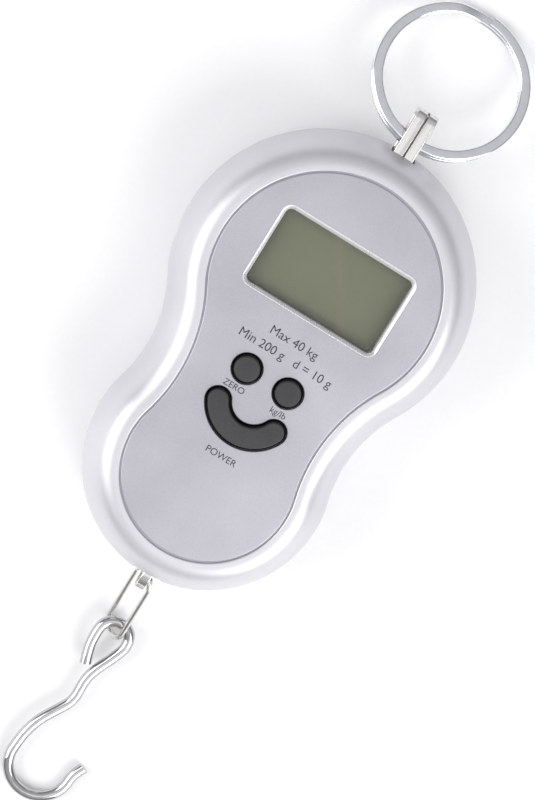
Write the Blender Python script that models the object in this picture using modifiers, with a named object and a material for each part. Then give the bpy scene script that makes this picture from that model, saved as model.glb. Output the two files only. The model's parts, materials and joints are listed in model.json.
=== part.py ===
"""A hanging digital luggage scale, lying on its back with its ring, link and hook drooped to the table.

The frame: +Y runs along the body towards the split ring, +Z is the way the display faces, and the
origin is on the flat of the back, half way along the body. Sizes are in metres.
"""

from math import atan2, cos, pi, radians, sin, sqrt

import bmesh
import bpy
from mathutils import Matrix, Vector

mm = 0.001
FIT = 0.3 * mm  # gap between pieces that touch

# The body, seen from the front: two circles joined by a hollow arc at the waist.
body_length = 115.8 * mm
top_radius = 35.8 * mm
bottom_radius = 29.25 * mm
waist_radius = 32.6 * mm

# The body, seen from the side.
seam_height = 11.5 * mm
rim_height = 26.9 * mm
wall = 2.0 * mm
front_round = 7.7 * mm  # how far the front rim's curve reaches inwards
back_round = 10.0 * mm

# The panel that is set into the front, and the window in it.
panel_inset = 8.7 * mm
panel_thickness = 1.6 * mm
panel_edge = 0.4 * mm
panel_drop = 0.1 * mm  # panel's face below the rim's crest
floor_thickness = 1.8 * mm
window_width = 33.7 * mm
window_height = 19.3 * mm
window_y = 24.0 * mm
window_corner = 1.8 * mm
window_bevel = 0.8 * mm
window_drop = 0.8 * mm  # window's face below the panel's face
window_flange = 1.6 * mm
window_flange_thickness = 0.7 * mm

# The three rubber keys: two round ones and a smile-shaped one below them.
key_gap = 0.5 * mm  # between a key and the edge of its hole
key_proud = 1.2 * mm
key_travel = 0.8 * mm
key_flange = 1.2 * mm  # how far the flange stands out past the cap
key_flange_thickness = 0.8 * mm
round_key_radius = 3.2 * mm
round_key_x = 5.5 * mm
round_key_y = -2.9 * mm
smile_centre_y = -8.6 * mm
smile_radius = 8.3 * mm
smile_half_width = 2.6 * mm
smile_start = radians(26)  # how far below level the smile's ends lie

# The circuit board and what is on it.
board_inset = 6.0 * mm
board_thickness = 1.6 * mm
board_low = 17.6 * mm
board_top_y = 39.4 * mm
board_bottom_y = -27.4 * mm
glass_margin = 1.7 * mm  # display glass past the window on each side
glass_thickness = 1.8 * mm
frame_wall = 1.5 * mm

# The load line: ring, hanger, load cell, strap, bracket, link and hook.
load_height = 14.5 * mm
hanger_width = 5.2 * mm
hanger_reach = 10.4 * mm  # past the end of the body
strip_thickness = 1.5 * mm
hanger_slot = 5.0 * mm
hanger_corner = 0.8 * mm
groove_width = 0.8 * mm
groove_depth = 0.5 * mm
pin_radius = 1.5 * mm
pin_head_radius = 2.4 * mm
pin_head = 1.0 * mm
cell_width = 26.0 * mm
cell_thickness = 7.9 * mm
cell_bottom_y = 16.0 * mm
cell_top_y = 44.0 * mm
cell_rise = 2.4 * mm  # top of the load cell above the load line
cradle_thickness = 1.5 * mm
cradle_inset = 5.0 * mm  # ribs inside the ends of the load cell
cell_window_size = (21.0 * mm, 8.0 * mm)
cell_window_corner = 2.5 * mm
slit_width = 1.5 * mm
slit_wall = 1.6 * mm  # between the window and each slit
tongue_width = 10.0 * mm
upper_tongue = 8.0 * mm
lower_tongue = 6.8 * mm
lower_tongue_thickness = 2.4 * mm
strap_width = 6.0 * mm
strap_thickness = 1.5 * mm

ring_diameter = 38.0 * mm
ring_wire_radial = 2.7 * mm
ring_wire_height = 1.5 * mm
ring_turn_gap = 0.2 * mm
ring_seat = 2.4 * mm  # from the end of the body to the centre of the ring's wire
ring_x = 1.2 * mm  # the ring lies a little to the right

chain_x = 1.0 * mm  # the lower hardware hangs a little to the right
bracket_width = 2.3 * mm
bracket_strip = 1.2 * mm
bracket_slot_radius = 3.0 * mm
bracket_reach = 3.1 * mm  # past the end of the body
link_wire = 1.4 * mm
link_length = 22.7 * mm  # between wire centres
link_width = 6.8 * mm  # between wire centres
link_roll = radians(50)
link_yaw = radians(4)
hook_wire = 2.8 * mm
hook_seat = 0.7 * mm  # hook's wire short of the middle of the link's end curve
hook_shift = 1.1 * mm  # how far the eye's middle lies to the right of the link
hook_roll = radians(4)
table_gap = 0.05 * mm

# Two AAA cells in a bay behind a door in the back.
cell_radius = 5.25 * mm
cell_length = 44.5 * mm
cell_nub_radius = 1.9 * mm
cell_nub = 0.8 * mm
cell_pitch = 11.2 * mm
bay_side = 0.45 * mm  # room beside each cell
bay_end = 3.15 * mm  # room at each end for the contacts
bay_wall = 1.2 * mm
bay_top_y = 6.9 * mm
door_margin = 2.2 * mm  # door past the bay at the sides
door_end_margin = 2.7 * mm
door_thickness = 1.4 * mm
door_corner = 3.0 * mm
tongue_reach = 1.9 * mm
contact_thickness = 0.5 * mm
spring_wire = 0.7 * mm
lead_diameter = 1.2 * mm
cell_lead_diameter = 0.8 * mm

screw_places = [(18.5 * mm, 43.0 * mm), (19.5 * mm, -40.0 * mm)]  # mirrored to the other side
screw_radius = 1.3 * mm
screw_head_radius = 2.6 * mm
screw_head = 1.6 * mm
screw_tip_height = 18.0 * mm
screw_seat_height = 4.0 * mm
boss_wall = 1.9 * mm
board_screw_places = [(20.0 * mm, 5.5 * mm), (-20.0 * mm, 5.5 * mm), (0.0, -24.8 * mm)]
board_screw_radius = 0.9 * mm
board_boss_radius = 2.2 * mm

# Heights that follow from those.
body_end = body_length / 2
front_low = seam_height + FIT / 2
rear_high = seam_height - FIT / 2
face_height = rim_height - panel_drop
panel_low = face_height - panel_thickness
floor_high = panel_low - FIT
ceiling = floor_high - floor_thickness
board_high = board_low + board_thickness
glass_high = ceiling - FIT
glass_low = glass_high - glass_thickness
key_low = ceiling - FIT - key_flange_thickness
key_top = face_height + key_proud

# The centre of each arc in the outline.
top_y = body_end - top_radius
bottom_y = bottom_radius - body_end
top_reach = top_radius + waist_radius
bottom_reach = bottom_radius + waist_radius
waist_y = (top_y + bottom_y) / 2 + (bottom_reach**2 - top_reach**2) / (2 * (top_y - bottom_y))
waist_x = sqrt(top_reach**2 - (waist_y - top_y) ** 2)

# The bay, from the sizes of the cells.
bay_half_width = cell_pitch / 2 + cell_radius + bay_side
bay_bottom_y = bay_top_y - cell_length - 2 * bay_end
door_low = 0.0  # the door lies flush with the flat of the back
door_high = door_low + door_thickness
cell_axis_height = door_high + FIT + FIT + cell_radius
bay_ceiling = cell_axis_height + cell_radius + FIT
bay_roof = bay_ceiling + bay_wall
strap_low = bay_roof + FIT + 0.1 * mm

# ---------------------------------------------------------------- scene and helpers

for old in list(bpy.data.objects):
    bpy.data.objects.remove(old)
parts = bpy.data.collections.new("luggage_scale")
cutters = bpy.data.collections.new("cutters")
bpy.context.scene.collection.children.link(parts)
bpy.context.scene.collection.children.link(cutters)

SIDEWAYS = Matrix(((0, 0, 1, 0), (1, 0, 0, 0), (0, 1, 0, 0), (0, 0, 0, 1)))  # drawn YZ, thick in X
UPRIGHT = Matrix(((1, 0, 0, 0), (0, 0, -1, 0), (0, 1, 0, 0), (0, 0, 0, 1)))  # drawn XZ, thick in Y


def material(name, colour, roughness, metallic=0.0):
    made = bpy.data.materials.new(name)
    made.use_nodes = True
    shader = made.node_tree.nodes["Principled BSDF"]
    shader.inputs["Base Color"].default_value = (*colour, 1)
    shader.inputs["Roughness"].default_value = roughness
    shader.inputs["Metallic"].default_value = metallic
    return made


silver_paint = material("silver_paint", (0.56, 0.56, 0.60), 0.42, 0.35)
silver_shell = material("silver_shell", (0.72, 0.72, 0.74), 0.25, 0.45)
key_rubber = material("key_rubber", (0.09, 0.09, 0.10), 0.75)
clear_plastic = material("clear_plastic", (0.75, 0.78, 0.72), 0.05)
display_glass = material("display_glass", (0.19, 0.20, 0.13), 0.12)
bright_steel = material("bright_steel", (0.80, 0.79, 0.76), 0.18, 1.0)
chrome = material("chrome", (0.78, 0.79, 0.82), 0.08, 1.0)
aluminium = material("aluminium", (0.66, 0.67, 0.69), 0.35, 1.0)
circuit_board = material("circuit_board", (0.04, 0.22, 0.10), 0.45)
black_plastic = material("black_plastic", (0.03, 0.03, 0.03), 0.5)
gauge_foil = material("gauge_foil", (0.55, 0.36, 0.14), 0.4)
cell_jacket = material("cell_jacket", (0.12, 0.13, 0.16), 0.35)
red_lead = material("red_lead", (0.55, 0.03, 0.02), 0.5)
black_lead = material("black_lead", (0.02, 0.02, 0.02), 0.5)
white_lead = material("white_lead", (0.72, 0.72, 0.70), 0.5)
green_lead = material("green_lead", (0.03, 0.30, 0.08), 0.5)


def place(name, data, finish=None, body=None):
    """Adds a node, or a hidden cutter where it has no finish."""
    made = bpy.data.objects.new(name, data)
    if finish:
        parts.objects.link(made)
        data.materials.append(finish)
    else:
        cutters.objects.link(made)
        made.hide_render = True
        made.display_type = "WIRE"
    if body:
        made.parent = body
        made.matrix_parent_inverse = Matrix.Translation(-body.location)
    return made


def pivot(name, location):
    """An empty on a joint's axis, which carries the pieces that move about it."""
    made = bpy.data.objects.new(name, None)
    made.empty_display_size = 5 * mm
    made.location = location
    parts.objects.link(made)
    return made


def boolean(target, other, operation):
    step = target.modifiers.new(other.name, "BOOLEAN")
    step.operation = operation
    step.object = other


def cut(target, *others):
    for other in others:
        boolean(target, other, "DIFFERENCE")


def join(target, *others):
    for other in others:
        boolean(target, other, "UNION")


def finished(bm, name, transform=Matrix()):
    bmesh.ops.recalc_face_normals(bm, faces=bm.faces)
    bm.transform(transform)
    mesh = bpy.data.meshes.new(name)
    bm.to_mesh(mesh)
    bm.free()
    return mesh


def smooth(mesh, angle=radians(35)):
    mesh.shade_smooth()
    mesh.set_sharp_from_angle(angle=angle)
    return mesh


def block(name, low, high):
    """A box between two corners."""
    bm = bmesh.new()
    bmesh.ops.create_cube(bm, size=1)
    low, high = Vector(low), Vector(high)
    scale = Matrix.Diagonal((*(high - low), 1))
    return finished(bm, name, Matrix.Translation((low + high) / 2) @ scale)


def column(name, x, y, low, high, radius, sides=20):
    """A cylinder along Z."""
    bm = bmesh.new()
    bmesh.ops.create_cone(
        bm, cap_ends=True, segments=sides, radius1=radius, radius2=radius, depth=high - low
    )
    return smooth(finished(bm, name, Matrix.Translation((x, y, (low + high) / 2))))


def arc(x, y, radius, start, end, steps):
    """Points on an arc, both ends included."""
    turns = [start + (end - start) * i / steps for i in range(steps + 1)]
    return [(x + radius * cos(turn), y + radius * sin(turn)) for turn in turns]


def slab(name, loops, low, high, transform=Matrix()):
    """A flat plate: the first loop is its edge and any others are holes in it."""
    curve = bpy.data.curves.new(name, "CURVE")
    curve.dimensions = "2D"
    curve.fill_mode = "BOTH"
    curve.extrude = (high - low) / 2
    for loop in loops:
        spline = curve.splines.new("POLY")
        spline.points.add(len(loop) - 1)
        spline.use_cyclic_u = True
        for point, (x, y) in zip(spline.points, loop):
            point.co = (x, y, 0, 1)
    guide = bpy.data.objects.new(name, curve)
    cutters.objects.link(guide)
    graph = bpy.context.evaluated_depsgraph_get()
    mesh = bpy.data.meshes.new_from_object(guide.evaluated_get(graph))
    bpy.data.objects.remove(guide)
    bpy.data.curves.remove(curve)
    bm = bmesh.new()
    bm.from_mesh(mesh)
    bpy.data.meshes.remove(mesh)
    bmesh.ops.remove_doubles(bm, verts=bm.verts, dist=0.001 * mm)
    return finished(bm, name, transform @ Matrix.Translation((0, 0, (low + high) / 2)))


def skin(name, rings, transform=Matrix()):
    """A closed loft through rings of the same number of points, with a flat face at each end."""
    bm = bmesh.new()
    rows = [[bm.verts.new(point) for point in ring] for ring in rings]
    for row, following in zip(rows, rows[1:]):
        for i in range(len(row)):
            bm.faces.new((row[i - 1], row[i], following[i], following[i - 1]))
    bm.faces.new(rows[0])
    bm.faces.new(rows[-1])
    return smooth(finished(bm, name, transform))


def turned(name, profile, finish, sides=24, body=None):
    """A solid of revolution about Z, from its profile's top centre down its outside."""
    mesh = bpy.data.meshes.new(name)
    points = [(radius, 0, height) for radius, height in profile]
    mesh.from_pydata(points, [(i, i + 1) for i in range(len(points) - 1)], [])
    made = place(name, mesh, finish, body)
    spin = made.modifiers.new("turn", "SCREW")
    spin.steps = spin.render_steps = sides
    spin.use_merge_vertices = True
    spin.merge_threshold = 0.00001
    spin.use_smooth_shade = True
    return made


def wire(name, points, diameter, finish, cyclic=False, body=None):
    """A round wire along a path, closed on itself or with flat cut ends."""
    curve = bpy.data.curves.new(name, "CURVE")
    curve.dimensions = "3D"
    curve.bevel_depth = diameter / 2
    curve.bevel_resolution = 2
    curve.use_fill_caps = not cyclic
    spline = curve.splines.new("POLY")
    spline.points.add(len(points) - 1)
    spline.use_cyclic_u = cyclic
    spline.use_smooth = True
    for point, place_of in zip(spline.points, points):
        point.co = (*place_of, 1)
    return place(name, curve, finish, body)


def rounded(x, y, width, height, corner, steps=3):
    """A rectangle's outline with round corners."""
    across, along = width / 2 - corner, height / 2 - corner
    points = []
    for i, (sx, sy) in enumerate([(1, 1), (-1, 1), (-1, -1), (1, -1)]):
        start = i * pi / 2
        points += arc(x + sx * across, y + sy * along, corner, start, start + pi / 2, steps)
    return points


def round_end(y, radius, start, past):
    """Half a circle from a turn, carried on past both its ends."""
    before = arc(0, y, radius, start - past, start, 3)
    after = arc(0, y, radius, start + pi, start + pi + past, 3)
    return before[:-1] + arc(0, y, radius, start, start + pi, 14) + after[1:]


def body_outline(inset):
    """The body's outline, moved inwards by one distance all round."""
    top_past = atan2(top_y - waist_y, waist_x)
    bottom_past = atan2(waist_y - bottom_y, waist_x)
    hollow = waist_radius + inset
    points = round_end(top_y, top_radius - inset, 0, top_past)
    points += arc(-waist_x, waist_y, hollow, top_past, -bottom_past, 5)[1:-1]
    points += round_end(bottom_y, bottom_radius - inset, pi, bottom_past)
    points += arc(waist_x, waist_y, hollow, pi + bottom_past, pi - top_past, 5)[1:-1]
    return points


def body_loft(name, sections):
    """A solid with the body's outline, from (inset, height) pairs, bottom to top."""
    return skin(name, [[(x, y, high) for x, y in body_outline(inset)] for inset, high in sections])


def quarter(inset, reach, base, rise, steps=4):
    """(inset, height) pairs along a quarter of an ellipse, from the seam to the face or the back."""
    turns = [pi / 2 * i / steps for i in range(steps + 1)]
    return [(inset + reach * (1 - cos(turn)), base + rise * sin(turn)) for turn in turns]


def both_sides(places):
    return [(side * x, y) for x, y in places for side in (1, -1)]


def resting_turn(reach_down, height):
    """The turn, between level and upright, at which a piece's lowest point comes to a height."""
    low, high = 0.0, pi / 2
    for _ in range(40):
        middle = (low + high) / 2
        if reach_down(middle) < height:
            low = middle
        else:
            high = middle
    return low


# ---------------------------------------------------------------- front shell and panel

over = 1 * mm  # how far a cutter runs past what it cuts
front_shell = place(
    "front_shell",
    body_loft("front_shell", quarter(0, front_round, front_low, rim_height - front_low)),
    silver_shell,
)
front_hollow = [(wall, front_low - over)] + quarter(wall, front_round, front_low, ceiling - front_low)
cut(front_shell, place("front_hollow", body_loft("front_hollow", front_hollow)))
panel_bed = body_loft("panel_bed", [(panel_inset, floor_high), (panel_inset, rim_height + over)])
cut(front_shell, place("panel_bed", panel_bed))

panel_sections = [
    (panel_inset + FIT, panel_low),
    (panel_inset + FIT, face_height - panel_edge),
    (panel_inset + FIT + panel_edge, face_height),
]
face_panel = place("face_panel", body_loft("face_panel", panel_sections), silver_paint)


def smile(half_width, steps=14):
    """The outline of a band bent along an arc, with round ends."""
    start, end = -smile_start, smile_start - pi
    outer = arc(0, smile_centre_y, smile_radius + half_width, start, end, steps)
    inner = arc(0, smile_centre_y, smile_radius - half_width, end, start, steps)
    left = (smile_radius * cos(end), smile_centre_y + smile_radius * sin(end))
    right = (smile_radius * cos(start), smile_centre_y + smile_radius * sin(start))
    return (
        outer
        + arc(*left, half_width, end, end - pi, 6)[1:-1]
        + inner
        + arc(*right, half_width, start + pi, start, 6)[1:-1]
    )


round_hole_radius = round_key_radius + key_gap
for side, label in ((-1, "left_key_hole"), (1, "right_key_hole")):
    hole = column(
        label, side * round_key_x, round_key_y, ceiling - over, rim_height + over, round_hole_radius, 28
    )
    hole_cutter = place(label, hole)
    cut(front_shell, hole_cutter)
    cut(face_panel, hole_cutter)
smile_hole = slab("smile_hole", [smile(smile_half_width + key_gap)], ceiling - over, rim_height + over)
smile_cutter = place("smile_hole", smile_hole)
cut(front_shell, smile_cutter)
cut(face_panel, smile_cutter)


def window_shape(extra, corner=window_corner):
    return rounded(0, window_y, window_width + 2 * extra, window_height + 2 * extra, corner + extra)


def window_loft(name, sections):
    return skin(name, [[(x, y, high) for x, y in window_shape(extra)] for extra, high in sections])


bevel_low = face_height - window_bevel
bevel_more = window_bevel + over
panel_window = [
    (0, panel_low - over),
    (0, bevel_low),
    (bevel_more, bevel_low + bevel_more),
]
cut(face_panel, place("panel_window", window_loft("panel_window", panel_window)))
flange_low = floor_high - window_flange_thickness
shell_window = slab("shell_window", [window_shape(0)], ceiling - over, floor_high + over)
flange_pocket = slab(
    "flange_pocket", [window_shape(window_flange + FIT)], flange_low - FIT, floor_high + over
)
cut(front_shell, place("shell_window", shell_window), place("flange_pocket", flange_pocket))

window_sections = [
    (window_flange, flange_low),
    (window_flange, floor_high),
    (-FIT, floor_high),
    (-FIT, face_height - window_drop),
]
display_window = window_loft("display_window", window_sections)
place("display_window", display_window, clear_plastic)

# ---------------------------------------------------------------- rear shell, bosses and bay

rear_sections = quarter(0, back_round, rear_high, -rear_high)[::-1]
rear_shell = place("rear_shell", body_loft("rear_shell", rear_sections), silver_shell)
rear_hollow = quarter(wall, back_round, rear_high, wall - rear_high)[::-1] + [(wall, rear_high + over)]
cut(rear_shell, place("rear_hollow", body_loft("rear_hollow", rear_hollow)))

door_half_width = bay_half_width + door_margin
door_top_y = bay_top_y + door_end_margin
door_bottom_y = bay_bottom_y - door_end_margin
seat_half_width = door_half_width + FIT + bay_wall
seat = block(
    "door_seat",
    (-seat_half_width, door_bottom_y - FIT - bay_wall, wall / 2),
    (seat_half_width, door_top_y + FIT + bay_wall, door_high + FIT + bay_wall),
)
bay = block(
    "battery_bay",
    (-bay_half_width - bay_wall, bay_bottom_y - bay_wall, wall / 2),
    (bay_half_width + bay_wall, bay_top_y + bay_wall, bay_roof),
)
join(rear_shell, place("door_seat", seat), place("battery_bay", bay))

cradle_places = [cell_bottom_y + cradle_inset, cell_top_y - cradle_inset]
cradle_half = Vector((cell_width / 2 - 3 * mm, cradle_thickness / 2))
cell_low = load_height + cell_rise - cell_thickness
cell_high = cell_low + cell_thickness
for i, y in enumerate(cradle_places):
    rib = block(
        f"cradle_{i + 1}",
        (-cradle_half.x, y - cradle_half.y, wall / 2),
        (cradle_half.x, y + cradle_half.y, cell_low - FIT),
    )
    join(rear_shell, place(f"cradle_{i + 1}", rib))

rear_boss_radius = screw_head_radius + FIT + boss_wall / 2
front_boss_radius = screw_radius + boss_wall
boss_room = quarter(wall / 2, back_round, rear_high, wall / 2 - rear_high)[::-1]
boss_limit = place("boss_limit", body_loft("boss_limit", boss_room + [(wall / 2, rear_high + over)]))
for i, (x, y) in enumerate(both_sides(screw_places)):
    rear_column = column(f"rear_boss_{i + 1}", x, y, 0, rear_high, rear_boss_radius)
    rear_boss = place(f"rear_boss_{i + 1}", rear_column)
    boolean(rear_boss, boss_limit, "INTERSECT")
    join(rear_shell, rear_boss)
    front_boss = column(f"front_boss_{i + 1}", x, y, front_low, ceiling + wall / 2, front_boss_radius)
    join(front_shell, place(f"front_boss_{i + 1}", front_boss))
    head_bore = column(f"head_bore_{i + 1}", x, y, -over, screw_seat_height, screw_head_radius + FIT)
    shank_bore = column(
        f"shank_bore_{i + 1}", x, y, -over, screw_tip_height + over, screw_radius + FIT
    )
    shank_cutter = place(f"shank_bore_{i + 1}", shank_bore)
    cut(rear_shell, place(f"head_bore_{i + 1}", head_bore), shank_cutter)
    cut(front_shell, shank_cutter)

bay_room = block(
    "bay_room", (-bay_half_width, bay_bottom_y, -over), (bay_half_width, bay_top_y, bay_ceiling)
)
door_middle_y = (door_top_y + door_bottom_y) / 2
door_length = door_top_y - door_bottom_y
door_bed_loop = rounded(
    0, door_middle_y, 2 * (door_half_width + FIT), door_length + 2 * FIT, door_corner + FIT
)
door_bed = slab("door_bed", [door_bed_loop], -over, door_high + FIT)
cut(rear_shell, place("bay_room", bay_room), place("door_bed", door_bed))

tongue_half_width = 1.5 * mm
tongue_x = 7.5 * mm
tongue_root = 1.0 * mm  # how far the tongue runs over the door
tongue_low, tongue_high = door_low + 0.9 * mm, door_low + 2.0 * mm
tongue_room = 5.0 * mm  # height of the pocket the tongue swings up in
for side, label in ((-1, "left"), (1, "right")):
    pocket = block(
        f"{label}_tongue_pocket",
        (
            side * tongue_x - tongue_half_width - FIT,
            door_bottom_y - tongue_reach - 3 * FIT,
            tongue_low - FIT,
        ),
        (side * tongue_x + tongue_half_width + FIT, door_bottom_y + tongue_root + 2 * FIT, tongue_room),
    )
    cut(rear_shell, place(f"{label}_tongue_pocket", pocket))
latch_half_width = 4.0 * mm
latch_depth = 1.2 * mm
latch_height = 5.0 * mm
latch_room = block(
    "latch_room",
    (-latch_half_width - 2 * FIT, bay_top_y - over, door_high),
    (latch_half_width + 2 * FIT, door_top_y + 2 * FIT, latch_height + 2 * FIT),
)
cut(rear_shell, place("latch_room", latch_room))

# ---------------------------------------------------------------- mouths for the load line

hanger_mouth = block(
    "hanger_mouth",
    (
        -hanger_width / 2 - 1.5 * FIT,
        body_end - 3 * wall,
        load_height - hanger_slot / 2 - strip_thickness - 1.5 * FIT,
    ),
    (
        hanger_width / 2 + 1.5 * FIT,
        body_end + over,
        load_height + hanger_slot / 2 + strip_thickness + 1.5 * FIT,
    ),
)
hanger_cutter = place("hanger_mouth", hanger_mouth)
bracket_radius = bracket_slot_radius + bracket_strip
mouth_half_width = link_width / 2 + FIT
bracket_mouth = block(
    "bracket_mouth",
    (chain_x - mouth_half_width, -body_end - over, load_height - bracket_radius - 1.5 * FIT),
    (chain_x + mouth_half_width, 3 * wall - body_end, load_height + bracket_radius + 1.5 * FIT),
)
bracket_cutter = place("bracket_mouth", bracket_mouth)
for shell in (front_shell, rear_shell):
    cut(shell, hanger_cutter, bracket_cutter)

# ---------------------------------------------------------------- keys and their mat


def key_pivot(name, x, y):
    return pivot(name, (x, y, key_low))


def round_key(name, x):
    """A rubber cap with a flange that keeps it under the shell."""
    flange_radius = round_key_radius + key_flange
    edge = 0.4 * mm
    profile = [
        (0, key_top + 0.1 * mm),
        (round_key_radius - edge, key_top),
        (round_key_radius, key_top - edge),
        (round_key_radius, key_low + key_flange_thickness),
        (flange_radius, key_low + key_flange_thickness),
        (flange_radius, key_low),
        (0, key_low),
    ]
    made = turned(name, profile, key_rubber, 28, key_pivot(f"{name}_pivot", x, round_key_y))
    made.matrix_parent_inverse = Matrix.Translation((0, 0, -key_low))
    return made


round_key("tare_key", -round_key_x)
round_key("unit_key", round_key_x)
smile_low_y = smile_centre_y - smile_radius
power_pivot = key_pivot("power_key_pivot", 0, smile_low_y)
power_key = place(
    "power_key",
    slab("power_key", [smile(smile_half_width)], key_low, key_top),
    key_rubber,
    power_pivot,
)
power_flange = slab(
    "power_flange", [smile(smile_half_width + key_flange)], key_low, key_low + key_flange_thickness
)
join(power_key, place("power_flange", power_flange))

mat_low = board_high + FIT
mat_high = mat_low + 1.0 * mm
dome_high = key_low - key_travel - FIT
mat_side = smile_radius + smile_half_width + 2.2 * mm
mat_bottom_y = smile_centre_y - smile_radius - smile_half_width - 1.6 * mm
mat_top_y = round_key_y + round_key_radius + 2.2 * mm
mat_middle_y = (mat_top_y + mat_bottom_y) / 2
mat_loop = rounded(0, mat_middle_y, 2 * mat_side, mat_top_y - mat_bottom_y, 2 * mm)
keypad_mat = place("keypad_mat", slab("keypad_mat", [mat_loop], mat_low, mat_high), key_rubber)
dome_places = [(-round_key_x, round_key_y), (round_key_x, round_key_y), (0, smile_low_y)]
for i, (x, y) in enumerate(dome_places):
    dome = column(f"dome_{i + 1}", x, y, mat_low + FIT, dome_high, 2.4 * mm, 16)
    join(keypad_mat, place(f"dome_{i + 1}", dome))

# ---------------------------------------------------------------- display and circuit board

glass_width = window_width + 2 * glass_margin
glass_height = window_height + 2 * glass_margin
place(
    "lcd_glass",
    slab("lcd_glass", [rounded(0, window_y, glass_width, glass_height, 0.5 * mm, 1)], glass_low, glass_high),
    display_glass,
)
frame_loops = [
    rounded(0, window_y, glass_width + extra, glass_height + extra, 1 * mm, 2)
    for extra in (2 * (FIT + frame_wall), 2 * FIT)
]
place("lcd_frame", slab("lcd_frame", frame_loops, board_high + FIT, glass_high), black_plastic)
zebra_y = window_y - glass_height / 2 + 1.4 * mm
zebra = block(
    "zebra_strip",
    (-window_width / 2, zebra_y - 1.0 * mm, board_high + FIT),
    (window_width / 2, zebra_y + 1.0 * mm, glass_low - FIT),
)
place("zebra_strip", zebra, black_plastic)

board_loft = body_loft("main_board", [(board_inset, board_low), (board_inset, board_high)])
main_board = place("main_board", board_loft, circuit_board)
above_board = block(
    "above_board", (-body_length, board_top_y, 0), (body_length, body_length, rim_height + over)
)
below_board = block(
    "below_board", (-body_length, -body_length, 0), (body_length, board_bottom_y, rim_height + over)
)
cut(main_board, place("above_board", above_board), place("below_board", below_board))

chip_half = 4.0 * mm
chip_low = board_high + FIT
chip = block(
    "controller_chip",
    (-chip_half, window_y - chip_half, chip_low),
    (chip_half, window_y + chip_half, glass_low - FIT),
)
place("controller_chip", chip, black_plastic)
part_y = (mat_top_y + window_y - glass_height / 2 - FIT - frame_wall) / 2
crystal_loop = rounded(-9 * mm, part_y, 8 * mm, 3 * mm, 1.4 * mm)
place("timing_crystal", slab("timing_crystal", [crystal_loop], chip_low, chip_low + 2.2 * mm), aluminium)
capacitor = column("filter_capacitor", 9 * mm, part_y, chip_low, chip_low + 2.8 * mm, 1.8 * mm, 18)
place("filter_capacitor", capacitor, aluminium)

board_boss_low = board_high + FIT
for i, (x, y) in enumerate(board_screw_places):
    boss = column(f"board_boss_{i + 1}", x, y, board_boss_low, ceiling + wall / 2, board_boss_radius, 16)
    join(front_shell, place(f"board_boss_{i + 1}", boss))
    bore = column(
        f"board_bore_{i + 1}", x, y, board_low - over, ceiling - over / 2, board_screw_radius + FIT, 14
    )
    bore_cutter = place(f"board_bore_{i + 1}", bore)
    cut(front_shell, bore_cutter)
    cut(main_board, bore_cutter)
    head_high = board_low - FIT
    screw = turned(
        f"board_screw_{i + 1}",
        [
            (0, ceiling - 1.6 * mm),
            (board_screw_radius, ceiling - 2.2 * mm),
            (board_screw_radius, head_high),
            (1.8 * mm, head_high),
            (1.6 * mm, head_high - 0.8 * mm),
            (0, head_high - 0.8 * mm),
        ],
        bright_steel,
        14,
    )
    screw.location = (x, y, 0)

# ---------------------------------------------------------------- shell screws

screw_profile = [
    (0, screw_tip_height - 0.4 * mm),
    (screw_radius, screw_tip_height - 2 * mm),
    (screw_radius, screw_seat_height - FIT),
    (screw_head_radius, screw_seat_height - FIT),
    (screw_head_radius, screw_seat_height - FIT - 0.6 * screw_head),
    (0.7 * screw_head_radius, screw_seat_height - FIT - screw_head),
    (0, screw_seat_height - FIT - screw_head),
]
for i, (x, y) in enumerate(both_sides(screw_places)):
    screw = turned(f"shell_screw_{i + 1}", screw_profile, bright_steel, 18)
    screw.location = (x, y, 0)

# ---------------------------------------------------------------- hanger, load cell and strap


def bent_strip(inner_end, outer_end, half_slot, thickness, corner, steps=4):
    """A strip bent to a U, drawn as (along, up) about the load line and opening towards inner_end."""
    way = 1 if outer_end > inner_end else -1
    outside = half_slot + thickness
    bend = corner + thickness
    slot_end = outer_end - way * thickness
    points = [(inner_end, -outside)]
    for turn, level in ((-pi / 2, -1), (0, 1)):
        curve = arc(0, level * (outside - bend), bend, turn, turn + pi / 2, steps)
        points += [(outer_end - way * bend + way * x, y) for x, y in curve]
    points += [(inner_end, outside), (inner_end, half_slot)]
    for turn, level in ((pi / 2, 1), (0, -1)):
        curve = arc(0, level * (half_slot - corner), corner, turn, turn - pi / 2, steps)
        points += [(slot_end - way * corner + way * x, y) for x, y in curve]
    points += [(inner_end, -half_slot)]
    return [(y, load_height + up) for y, up in points]


hanger_end = body_end + hanger_reach
hanger_inner = cell_top_y + 2 * FIT
hanger_outline = bent_strip(hanger_inner, hanger_end, hanger_slot / 2, strip_thickness, hanger_corner)
hanger_mesh = slab("hanger_loop", [hanger_outline], -hanger_width / 2, hanger_width / 2, SIDEWAYS)
hanger = place("hanger_loop", hanger_mesh, bright_steel)
hanger_face = load_height + hanger_slot / 2 + strip_thickness
groove = block(
    "hanger_groove",
    (-groove_width / 2, body_end - 2 * wall, hanger_face - groove_depth),
    (groove_width / 2, hanger_end + over, hanger_face + over),
)
cut(hanger, place("hanger_groove", groove))

upper_pin_y = cell_top_y + 4.5 * mm
lower_pin_y = cell_bottom_y - 3.4 * mm
pin_hole_radius = pin_radius + FIT
hanger_bore = column(
    "hanger_bore", 0, upper_pin_y, 0, rim_height, pin_hole_radius, 18
)
hanger_bore_cutter = place("hanger_bore", hanger_bore)
cut(hanger, hanger_bore_cutter)

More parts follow.
